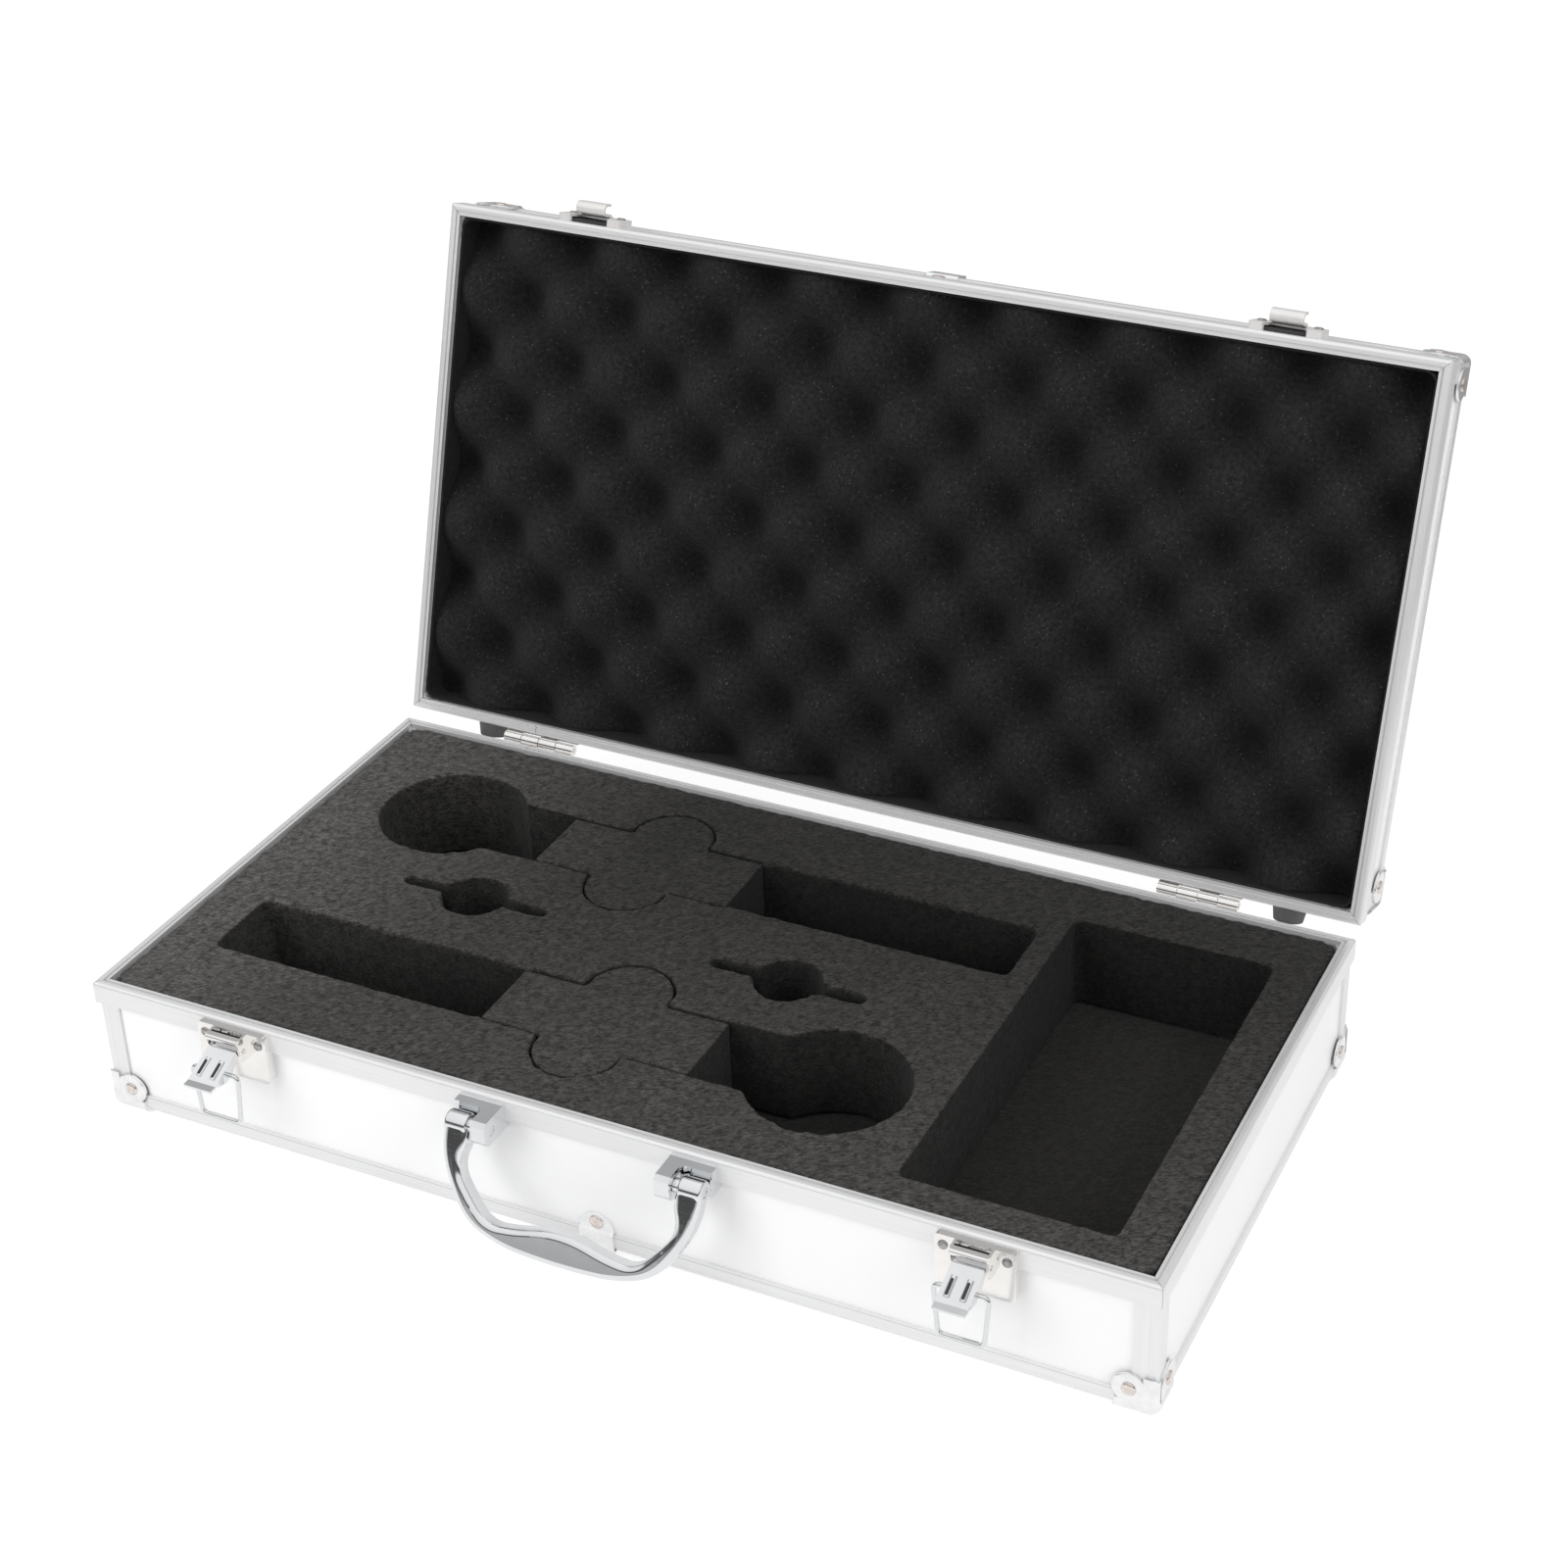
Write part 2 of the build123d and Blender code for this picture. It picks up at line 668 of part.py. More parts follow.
def handle_bracket():
    """The right-hand bracket: a cheek that holds the pin, and a web behind the arm's eye."""
    top = parting_z - bracket_top_drop
    front_y = -half_depth - bracket_out
    web_y = -half_depth - bracket_web
    cheek_x = bracket_inner_x + bracket_cheek_width
    body = block((bracket_inner_x, bracket_outer_x), (front_y, -face_y), (top - bracket_height, top))
    front = body.edges().filter_by(Axis.X).group_by(Axis.Y)[0].sort_by(Axis.Z)
    body = fillet(front[0], bracket_round)
    front = body.edges().filter_by(Axis.X).group_by(Axis.Y)[0].sort_by(Axis.Z)
    body = chamfer(front[-1], bracket_chamfer)
    rim_edge = parting_z - rim_gap / 2 - rim_height
    body -= block((0, case_width), (-half_depth, 0), (rim_edge, parting_z))
    room = block((cheek_x, case_width), (front_y - 1, web_y), (0, parting_z + 1))
    corner = room.edges().filter_by(Axis.Z).sort_by_distance((cheek_x, web_y, parting_z / 2))[:1]
    body -= fillet(corner, bracket_scoop)
    bore = rod(handle_pin_radius + 0.03, 0, case_width)
    return body - Pos(0, handle_pivot_y, handle_pivot_z) * bore


def arc_chain(points, direction):
    """Tangent arcs through flat points, starting in the given direction."""
    arcs = []
    for start, end in zip(points, points[1:]):
        arcs.append(TangentArc(start, end, tangent=direction))
        direction = arcs[-1] % 1
    return arcs


def handle_blank():
    """The flat outline of the handle, hanging from its pivot line along X at the origin."""
    half_arm = handle_arm_width / 2
    outer = handle_arm_x + half_arm
    inner = handle_arm_x - half_arm
    knuckle = handle_drop * 0.34
    low_outer = [
        (0, -handle_drop),
        (handle_arm_x * 0.35, -handle_drop * 0.985),
        (handle_arm_x * 0.67, -handle_drop * 0.905),
        (handle_arm_x * 0.9, -handle_drop * 0.70),
        (outer - half_arm * 0.8, -knuckle * 1.38),
        (outer - half_arm * 0.1, -knuckle * 0.7),
        (outer, 0),
    ]
    dip = handle_grip_top + handle_grip_swell
    low_inner = [
        (0, -handle_grip_top),
        (handle_arm_x * 0.27, -handle_grip_top - handle_grip_swell * 0.45),
        (handle_arm_x * 0.53, -dip),
        (handle_arm_x * 0.71, -dip * 0.9),
        (inner - half_arm * 0.35, -knuckle * 1.45),
        (inner - half_arm * 0.02, -knuckle * 0.7),
        (inner, 0),
    ]
    right = arc_chain(low_outer, (1, 0)) + arc_chain(low_inner, (1, 0)) + [Line((inner, 0), (outer, 0))]
    left = [mirror(edge, about=Plane.YZ) for edge in right]
    outline = make_face(right + left)
    upright = Plane(origin=(0, handle_thickness / 2, 0), x_dir=(1, 0, 0), z_dir=(0, -1, 0))
    return extrude(upright * outline, amount=handle_thickness, dir=(0, -1, 0))


def handle():
    """The cast handle, hanging straight down: rounded grip, two arms and their eyes."""
    blank = handle_blank()
    curved = [e for e in blank.edges() if e.geom_type == GeomType.CIRCLE]
    body = fillet(curved, handle_rounding)
    inner = handle_arm_x - handle_arm_width / 2
    boss_x = bracket_inner_x + bracket_cheek_width + handle_play
    eye = rod(handle_eye_radius, inner, inner + handle_arm_width)
    eye = fillet(eye.edges().filter_by(GeomType.CIRCLE), handle_eye_edge)
    eye += rod(handle_boss_radius, boss_x, inner + handle_eye_edge)
    body += eye + mirror(eye, about=Plane.YZ)
    return body - rod(handle_pin_radius + 0.05, -case_width, case_width)


def handle_pieces():
    """Brackets, pins and the handle as it rests on its stop, by node name."""
    right = handle_bracket()
    pin = rod(handle_pin_radius, bracket_inner_x + 0.2, handle_arm_x + handle_arm_width / 2 - 0.2)
    pin = Pos(0, handle_pivot_y, handle_pivot_z) * pin
    place = Pos(0, handle_pivot_y, handle_pivot_z) * Rot(-handle_rest_angle, 0, 0)
    return {
        "right_handle_bracket": right,
        "left_handle_bracket": mirror(right, about=Plane.YZ),
        "handle_pins": Compound([pin, mirror(pin, about=Plane.YZ)]),
        "handle": place * handle(),
    }


# ---- Foam: outlines are drawn flat for the front microphone, and turned half round for the rear ----


def rectangle_between(x_from, x_to, y_from, y_to, corner=0.0):
    """A flat rectangle between two corners, with rounded corners if asked."""
    width = x_to - x_from
    depth = y_to - y_from
    shape = RectangleRounded(width, depth, corner) if corner else Rectangle(width, depth)
    return Pos((x_from + x_to) / 2, (y_from + y_to) / 2) * shape


def mic_cutouts():
    """Head pocket with its neck, tail pocket and clip pocket, about the microphones' centre."""
    head = Pos(mic_head_from_centre, -mic_axis_y) * Circle(mic_head_radius)
    half_neck = mic_neck_width / 2
    neck = rectangle_between(
        mic_neck_from_centre, mic_head_from_centre, -mic_axis_y - half_neck, -mic_axis_y + half_neck
    )
    half_tail = mic_tail_width / 2
    tail = rectangle_between(
        -mic_tail_far, -mic_tail_near, -mic_axis_y - half_tail, -mic_axis_y + half_tail, pocket_corner
    )
    clip = Pos(clip_pocket_from_centre, -clip_pocket_y) * Circle(clip_pocket_radius)
    half_slot = clip_slot_length / 2
    slot = Pos(clip_pocket_from_centre, -clip_pocket_y) * Rectangle(2 * half_slot, clip_slot_width)
    return [head + neck, tail, clip + slot]


def mic_plug_outline(kerf):
    """The die-cut length between tail and head pockets, with a finger lobe on each side."""
    half = mic_body_width / 2 - kerf
    body = rectangle_between(
        -mic_tail_near + kerf, mic_neck_from_centre - kerf, -mic_axis_y - half, -mic_axis_y + half
    )
    for sign in (-1, 1):
        lobe = Circle(mic_lobe_radius - kerf)
        body += Pos(mic_lobe_from_centre, -mic_axis_y + sign * mic_lobe_off_axis) * lobe
    return body


def both_mics(outline):
    """The outline for the front microphone, and turned half round for the rear one."""
    centre = Pos(mic_centre_x, 0, 0)
    return [centre * outline, centre * Rot(0, 0, 180) * outline]


def convoluted_slab(outline, thickness):
    """A foam slab from z = 0 up, its lower face moulded into staggered peaks and hollows."""
    mouth = Rectangle(lid_hollow_mouth_x, lid_hollow_mouth_y)
    floor = Pos(0, 0, lid_hollow_depth) * Rectangle(lid_hollow_floor_x, lid_hollow_floor_y)
    hollow = loft([mouth, floor])
    columns = int((2 * inside_x + lid_hollow_mouth_x) / lid_wave_x)
    rows = int((2 * inside_y + lid_hollow_mouth_y) / lid_wave_y)
    hollows = []
    for column in range(-columns, columns + 1):
        for row in range(-rows, rows + 1):
            if (column + row) % 2:
                hollows.append(Pos(column * lid_wave_x / 2, row * lid_wave_y / 2, 0) * hollow)
    return extrude(outline, amount=thickness) - hollows


def foam_pieces():
    """Floor pad, cut block, the two plugs left in it, and the lid's slab, by node name."""
    width = 2 * (inside_x - foam_play)
    depth = 2 * (inside_y - foam_play)
    floor = cap_thickness + inside_floor
    pad_top = floor + pad_thickness
    block_top = parting_z - foam_below_rim
    sheet = RectangleRounded(width, depth, foam_corner)
    block_outline = sheet
    for cutout in mic_cutouts():
        for placed in both_mics(cutout):
            block_outline -= placed
    for placed in both_mics(mic_plug_outline(0)):
        block_outline -= placed
    block_outline -= rectangle_between(bay_left, bay_right, bay_front, bay_back, pocket_corner)
    front_plug, rear_plug = both_mics(mic_plug_outline(plug_kerf))
    plug_height = block_top - plug_sink - pad_top
    lid_inside = parting_z + lid_height - inside_floor
    lid_face = parting_z + lid_foam_below_rim
    return {
        "base_foam_pad": Pos(0, 0, floor) * extrude(sheet, amount=pad_thickness),
        "base_foam_block": Pos(0, 0, pad_top) * extrude(block_outline, amount=block_top - pad_top),
        "front_mic_plug": Pos(0, 0, pad_top) * extrude(front_plug, amount=plug_height),
        "rear_mic_plug": Pos(0, 0, pad_top) * extrude(rear_plug, amount=plug_height),
        "lid_foam": Pos(0, 0, lid_face) * convoluted_slab(sheet, lid_inside - lid_face),
    }


# ---- Assembly ----


def drawn_nodes():
    """Every node with the lid open, the latches open and the handle down, about the base's middle."""
    nodes = {}
    for name, piece in tray(base_height - rim_gap / 2, "base", "bottom").items():
        nodes[name] = as_base(piece)
    for name, piece in tray(lid_height - rim_gap / 2, "lid", "top").items():
        nodes[name] = swing_open(as_lid(piece))
    nodes.update(latch_pieces())
    nodes.update(handle_pieces())
    for name, piece in (hinge_pieces() | foam_pieces()).items():
        nodes[name] = swing_open(piece) if "lid" in name else piece
    for side, x in (("left", -latch_x), ("right", latch_x)):
        nodes[f"{side}_lid_catch"] = swing_open(Pos(x, 0, 0) * lid_catch())
    return nodes


def assembly():
    """The drawn nodes, moved along Y until the origin is under the middle of the open case."""
    nodes = drawn_nodes()
    middle = Compound(list(nodes.values())).bounding_box().center().Y
    return {name: Pos(0, -middle, 0) * node for name, node in nodes.items()}


os.makedirs("parts", exist_ok=True)
for node_name, node_shape in assembly().items():
    export_step(node_shape, f"parts/{node_name}.step")
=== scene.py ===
import json
from functools import partial
from math import cos, pi, radians, sin

import bmesh
import bpy
from bpy.props import FloatProperty, FloatVectorProperty, IntProperty, PointerProperty
from mathutils import Matrix, Vector
from mathutils.noise import noise


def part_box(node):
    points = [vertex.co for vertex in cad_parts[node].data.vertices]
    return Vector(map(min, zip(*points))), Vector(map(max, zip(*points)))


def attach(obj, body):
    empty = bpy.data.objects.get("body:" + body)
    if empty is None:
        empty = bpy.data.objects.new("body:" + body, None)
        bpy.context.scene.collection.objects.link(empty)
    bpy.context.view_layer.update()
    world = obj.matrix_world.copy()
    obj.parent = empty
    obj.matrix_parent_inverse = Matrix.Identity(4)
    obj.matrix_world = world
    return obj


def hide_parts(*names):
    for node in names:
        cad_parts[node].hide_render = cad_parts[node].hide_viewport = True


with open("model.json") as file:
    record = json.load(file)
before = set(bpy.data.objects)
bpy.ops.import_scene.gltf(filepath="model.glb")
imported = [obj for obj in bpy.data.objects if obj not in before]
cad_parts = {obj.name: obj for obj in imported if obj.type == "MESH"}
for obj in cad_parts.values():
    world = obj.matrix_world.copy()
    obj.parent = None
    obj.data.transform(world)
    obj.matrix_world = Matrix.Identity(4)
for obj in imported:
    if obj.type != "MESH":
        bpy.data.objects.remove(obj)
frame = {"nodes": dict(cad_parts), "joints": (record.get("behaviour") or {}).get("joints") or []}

bl_info = {
    "name": "Microphone Case",
    "version": (1, 0, 0),
    "blender": (4, 5, 0),
    "location": "View3D > Sidebar > Microphone Case",
    "description": "Foam, rivets, finishes and stage for an aluminium microphone case",
    "category": "Object",
}

MM = 0.001


# ---- Places on the case, read from the frame ----


def joint(name):
    """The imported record's entry for one joint."""
    return next(j for j in frame["joints"] if j["name"] == name)


def turn_about(point, axis, angle):
    """A turn about a line through a point."""
    move = Matrix.Translation(Vector(point))
    return move @ Matrix.Rotation(angle, 4, axis) @ move.inverted()


RIM_LOW, RIM_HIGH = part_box("base_rim")
CASE_MIDDLE_Y = (RIM_LOW.y + RIM_HIGH.y) / 2
HALF_WIDTH = RIM_HIGH.x
HALF_DEPTH = RIM_HIGH.y - CASE_MIDDLE_Y
LID_HINGE = joint("lid_hinge")
LID_OPENING = radians(LID_HINGE["range_deg"][1])
OPEN_LID = turn_about(LID_HINGE["pos_m"], "X", -LID_OPENING)
PARTING_Z = LID_HINGE["pos_m"][2]
RIM_SKIRT = 1.9 * MM
RIM_PROUD = 0.9 * MM
CAP_THICKNESS = 1.2 * MM
CLIP_THICKNESS = 0.8 * MM
LID_HEIGHT = 33.0 * MM
BASE_TRAY = Matrix.Translation((0, CASE_MIDDLE_Y, CAP_THICKNESS))
LID_FLIP = Matrix.Translation((0, CASE_MIDDLE_Y, PARTING_Z + LID_HEIGHT)) @ Matrix.Scale(-1, 4, (0, 0, 1))
LID_TRAY = OPEN_LID @ LID_FLIP
BODY_X = HALF_WIDTH - RIM_PROUD
BODY_Y = HALF_DEPTH - RIM_PROUD
EDGING_LEG = 7.6 * MM
POST_LEG = 9.0 * MM
CORNERS = [(sx, sy) for sx in (-1, 1) for sy in (-1, 1)]
LOBE_CENTRE = 9.5 * MM
LOBE_RADIUS = 6.5 * MM
LOBE_LIFT = 0.05 * MM
PLATE_FACE = 3.0 * MM
LEVER_RIB_X = 3.0 * MM
LEVER_RIB_FACE = 3.0 * MM
LEVER_RIB_MIDDLE = 11.4 * MM

# Fixings
# Thickness and corners of the dark sheets painted as shade on the lever ribs
SLOT_FILL = 0.1 * MM
SLOT_CORNER = 0.55 * MM
# Corner of the dark sheets painted as shade behind latches and catches
SHADE_SHEET_CORNER = 0.8 * MM
CAP_RIVET_INSET = 9.6 * MM
CLIP_RIVET_HEIGHT = 11.6 * MM
PLATE_RIVET_INSET = 3.3 * MM
PLATE_RIVET_DROP = 4.2 * MM
LEAF_THICKNESS = 1.0 * MM
LEAF_RIVET_INSET = 4.2 * MM
LEAF_RIVET_HEIGHT = 2.4 * MM

# Foam
PLUG_RAGGEDNESS = 0.3 * MM
LID_FOAM_GRID = (264, 132)
PEAK_SINK = 0.6 * MM
FELT_DROP = 0.4 * MM
FELT_CORNER = 5.0 * MM
# Reach of the painted light on the block foam, from its left end and towards the middle
PAINTED_LIGHT_FROM_END = 150 * MM
PAINTED_LIGHT_FROM_MIDDLE = 60 * MM

# The view
AZIMUTH, ELEVATION, ROLL = radians(24.486), radians(30.551), radians(-0.532)
LENS = 65.774
SHIFT = (-0.07624, -0.02698)
CAMERA_PLACE = Vector((435.40 * MM, -793.35 * MM + CASE_MIDDLE_Y, 687.08 * MM))
LAMP_TARGET = (0.0, 0.0, 0.1)
KEY_PLACE = (-0.9, -1.5, 1.1)
FILL_PLACE = (1.6, -0.5, 1.1)
LAMP_SIZE = 1.2


def tray_box(node, tray):
    """Lowest and highest corners of a node, seen in its tray's own frame."""
    back = tray.inverted()
    points = [back @ v.co for v in frame["nodes"][node].data.vertices]
    low = Vector([min(p[i] for p in points) for i in range(3)])
    high = Vector([max(p[i] for p in points) for i in range(3)])
    return low, high


# ---- Sizes and colours a user may change ----


def length_setting(name, description, millimetres):
    """A length setting, given in millimetres."""
    return FloatProperty(name=name, description=description, default=millimetres * MM, unit="LENGTH")


def colour_setting(name, description, value):
    """A colour setting."""
    return FloatVectorProperty(name=name, description=description, default=value, subtype="COLOR")


class FoamSizes(bpy.types.PropertyGroup):
    block_voxel: length_setting("Block grain", "Mesh size of the cut foam block", 1.5)
    plug_voxel: length_setting("Plug grain", "Mesh size of the foam plugs", 1.1)
    pad_voxel: length_setting("Pad grain", "Mesh size of the foam under the pockets", 2.6)
    raggedness: length_setting("Raggedness", "How far the cut faces wander", 0.6)
    swell: length_setting("Swell", "How far the plugs press out into their kerf", 0.3)
    peak_pitch_x: length_setting("Peak pitch along", "Width of one wave of the lid foam", 45.2)
    peak_pitch_y: length_setting("Peak pitch across", "Depth of one wave of the lid foam", 50.0)
    valley_depth: length_setting("Valley depth", "From peak to valley of the lid foam", 15.0)
    lining: length_setting("Lining", "Thickness of the felt round the lid foam", 1.0)


class RivetSizes(bpy.types.PropertyGroup):
    corner_radius: length_setting("Corner rivet", "Head radius on the corner caps", 2.7)
    clip_radius: length_setting("Clip rivet", "Head radius on the edging clips", 2.9)
    plate_radius: length_setting("Plate rivet", "Head radius on latches, catches and hinges", 1.9)
    head_height: length_setting("Head height", "How far a rivet head stands up", 0.7)
    head_steps: IntProperty(name="Head steps", description="Sides of a rivet head", default=20)


class FixingSizes(bpy.types.PropertyGroup):
    screw_radius: length_setting("Screw", "Head radius of the screws in the feet", 2.7)
    screw_height: length_setting("Screw head", "Height of those screws' heads", 1.6)
    screw_depth: length_setting("Screw depth", "From the foot's tip to the floor of its hollow", 6.0)
    # The next three size the dark sheets painted as shade behind latches and catches
    shade_sheet_thickness: length_setting("Seal", "Thickness of the seal behind latches and catches", 1.2)
    shade_sheet_gap: length_setting("Seal gap", "From the rim to the seal", 0.2)
    shade_sheet_inset: length_setting("Seal inset", "From the plate's outline to the seal's", 1.4)
    # The next two size the dark sheets painted as shade on the lever ribs
    slot_width: length_setting("Lever slot", "Width of the dark slot in each lever rib", 1.2)
    slot_length: length_setting("Lever slot length", "Length of the slot in each lever rib", 6.4)
    lobe_thickness: length_setting("Cap lobe", "Thickness of the lobes of the corner caps", 1.1)
    lobe_edge: length_setting("Lobe edge", "Rounding round the lobes of the corner caps", 0.4)


class FinishColours(bpy.types.PropertyGroup):
    board: colour_setting("Board", "White laminated board", (0.91, 0.91, 0.915))
    profile: colour_setting("Profile", "Satin aluminium profile", (0.84, 0.84, 0.845))
    pressing: colour_setting("Pressing", "Pressed aluminium caps", (0.93, 0.93, 0.935))
    nickel: colour_setting("Nickel", "Nickel plated sheet", (0.91, 0.89, 0.87))
    chrome: colour_setting("Chrome", "Polished chrome", (0.80, 0.81, 0.82))
    rivet: colour_setting("Rivet", "Plated rivet heads", (0.80, 0.72, 0.68))
    foam: colour_setting("Foam", "Charcoal block foam", (0.046, 0.044, 0.042))
    lid_foam: colour_setting("Lid foam", "Charcoal convoluted foam", (0.013, 0.013, 0.0135))
    feet: colour_setting("Feet", "Grey moulded feet", (0.12, 0.12, 0.122))
    # painted shade: colour of the dark sheets behind latches and catches and on the lever ribs
    rubber: colour_setting("Rubber", "Black rubber seals", (0.03, 0.03, 0.032))


class StageSettings(bpy.types.PropertyGroup):
    floor_size: FloatProperty(name="Floor", description="Width of the floor", default=8.0, unit="LENGTH")
    key_power: FloatProperty(name="Key light", description="Power of the large soft lamp", default=15.5)
    fill_power: FloatProperty(name="Fill light", description="Power of the side lamp", default=11.5)
    sky_level: FloatProperty(name="Sky level", description="Strength of the even light", default=0.92)


# ---- Node helpers ----


def new_node(tree, kind, inputs=(), **settings):
    """A shader node with some of its settings and input values."""
    node = tree.nodes.new(kind)
    for key, value in settings.items():
        setattr(node, key, value)
    for socket, value in inputs:
        node.inputs[socket].default_value = value
    return node


class Finish:
    """One material under construction: its tree, its shader and short ways to add nodes."""

    def __init__(self, name, colour, roughness, metallic=0.0):
        self.material = bpy.data.materials.new(name)
        self.material.use_nodes = True
        self.tree = self.material.node_tree
        self.shader = self.tree.nodes["Principled BSDF"]
        self.colour = (*colour, 1.0)
        self.shader.inputs["Base Color"].default_value = self.colour
        self.shader.inputs["Roughness"].default_value = roughness
        self.shader.inputs["Metallic"].default_value = metallic
        self.object = self.add("ShaderNodeTexCoord").outputs["Object"]

    def add(self, kind, **settings):
        return new_node(self.tree, kind, **settings)

    def put(self, socket, value):
        if isinstance(value, bpy.types.NodeSocket):
            self.tree.links.new(value, socket)
        else:
            socket.default_value = value

    def stretched(self, scale, source=None, location=(0, 0, 0), turn=(0, 0, 0)):
        node = self.add("ShaderNodeMapping")
        self.put(node.inputs["Vector"], source or self.object)
        node.inputs["Location"].default_value = location
        node.inputs["Rotation"].default_value = turn
        node.inputs["Scale"].default_value = scale
        return node.outputs["Vector"]

    def noise(self, scale, detail=3.0, roughness=0.55, source=None, distortion=0.0):
        node = self.add("ShaderNodeTexNoise")
        self.put(node.inputs["Vector"], source or self.object)
        node.inputs["Scale"].default_value = scale
        node.inputs["Detail"].default_value = detail
        node.inputs["Roughness"].default_value = roughness
        node.inputs["Distortion"].default_value = distortion
        return node.outputs["Fac"]

    def cells(self, scale):
        node = self.add("ShaderNodeTexVoronoi")
        self.put(node.inputs["Vector"], self.object)
        node.inputs["Scale"].default_value = scale
        return node.outputs["Distance"]

    def maths(self, operation, first, second=0.0):
        node = self.add("ShaderNodeMath", operation=operation)
        for socket, value in zip(node.inputs, (first, second)):
            self.put(socket, value)
        return node.outputs["Value"]

    def span(self, value, low, high, to_low=0.0, to_high=1.0):
        node = self.add("ShaderNodeMapRange")
        for socket, item in zip(node.inputs, (value, low, high, to_low, to_high)):
            self.put(socket, item)
        return node.outputs["Result"]

    def split(self, vector):
        node = self.add("ShaderNodeSeparateXYZ")
        self.put(node.inputs["Vector"], vector)
        return node.outputs

    def blend(self, factor, first, second):
        node = self.add("ShaderNodeMix", data_type="RGBA")
        self.put(node.inputs["Factor"], factor)
        self.put(node.inputs[6], first)
        self.put(node.inputs[7], second)
        return node.outputs[2]

    def shade(self, amount):
        return tuple(min(1.0, c * amount) for c in self.colour[:3]) + (1.0,)

    def bump(self, height, distance, strength=1.0, normal=None):
        node = self.add("ShaderNodeBump")
        node.inputs["Strength"].default_value = strength
        node.inputs["Distance"].default_value = distance
        self.put(node.inputs["Height"], height)
        if normal:
            self.put(node.inputs["Normal"], normal)
        return node.outputs["Normal"]

    def wear(self, colour=None, roughness=None, normal=None):
        if colour:
            self.put(self.shader.inputs["Base Color"], colour)
        if roughness:
            self.put(self.shader.inputs["Roughness"], roughness)
        if normal:
            self.put(self.shader.inputs["Normal"], normal)
        return self.material


# ---- Finishes ----


def painted_seat_shade(finish, point, upright_strength):
    """Painted shade where edging, posts and the lobes of the caps meet what they cover: 1 on the line, else 0."""
    axes = finish.split(point)
    height = axes["Z"]
    from_end = finish.maths("SUBTRACT", BODY_X, finish.maths("ABSOLUTE", axes["X"]))
    from_front = finish.maths("SUBTRACT", BODY_Y, finish.maths("ABSOLUTE", axes["Y"]))
    above = finish.maths("GREATER_THAN", height, EDGING_LEG - 0.5 * MM)

    def near(distance, where, half_width=0.14 * MM):
        gap = finish.maths("ABSOLUTE", finish.maths("SUBTRACT", distance, where))
        return finish.span(gap, half_width, half_width + 0.2 * MM, 1.0, 0.0)

    lines = finish.maths("MULTIPLY", near(height, EDGING_LEG + 0.15 * MM), 0.7)
    for distance in (from_end, from_front):
        upright = finish.maths("MULTIPLY", near(distance, POST_LEG + 0.15 * MM), above)
        lines = finish.maths("MAXIMUM", lines, finish.maths("MULTIPLY", upright, upright_strength))
    for first, second in ((from_end, height), (from_front, height), (from_end, from_front)):
        across = finish.maths("POWER", finish.maths("SUBTRACT", first, LOBE_CENTRE), 2.0)
        along = finish.maths("POWER", finish.maths("SUBTRACT", second, LOBE_CENTRE), 2.0)
        reach = finish.maths("SQRT", finish.maths("ADD", across, along))
        lines = finish.maths("MAXIMUM", lines, near(reach, LOBE_RADIUS - 0.25 * MM, 0.42 * MM))
    return lines


def board_finish(name, colours, lid):
    """White laminated board: faint orange peel, handling marks and painted shadow where the edging, posts and cap
    lobes sit on it.
    """
    finish = Finish(name, colours.board, 0.32)
    seat_shade = painted_seat_shade(finish, tray_point(finish, lid), 0.3)
    peel = finish.noise(900.0, 2.0)
    marks = finish.noise(9.0, 5.0, 0.6)
    colour = finish.blend(finish.span(marks, 0.35, 0.75), finish.colour, finish.shade(0.975))
    # painted shadow: the board darkens where the edging, posts and cap lobes sit on it
    colour = finish.blend(finish.maths("MULTIPLY", seat_shade, 0.62), colour, finish.shade(0.15))
    roughness = finish.span(marks, 0.3, 0.7, 0.26, 0.40)
    return finish.wear(colour, roughness, finish.bump(peel, 0.02 * MM, 0.35))


def drawn_lines(finish, along, source):
    """Fine lines left by the extrusion die, running along one axis."""
    scale = [1400.0, 1400.0, 1400.0]
    scale[along] = 14.0
    return finish.noise(1.0, 3.0, 0.6, finish.stretched(scale, source))


def tray_point(finish, lid):
    """Object coordinates in the tray's frame: the lid's are turned back to where it closes."""
    if not lid:
        return finish.stretched((1, 1, 1), location=(0, -CASE_MIDDLE_Y, 0))
    pivot = Vector(LID_HINGE["pos_m"])
    turned = Matrix.Rotation(LID_OPENING, 3, "X") @ pivot
    place = pivot - turned - Vector((0, CASE_MIDDLE_Y, 0))
    return finish.stretched((1, 1, 1), location=place, turn=(LID_OPENING, 0, 0))


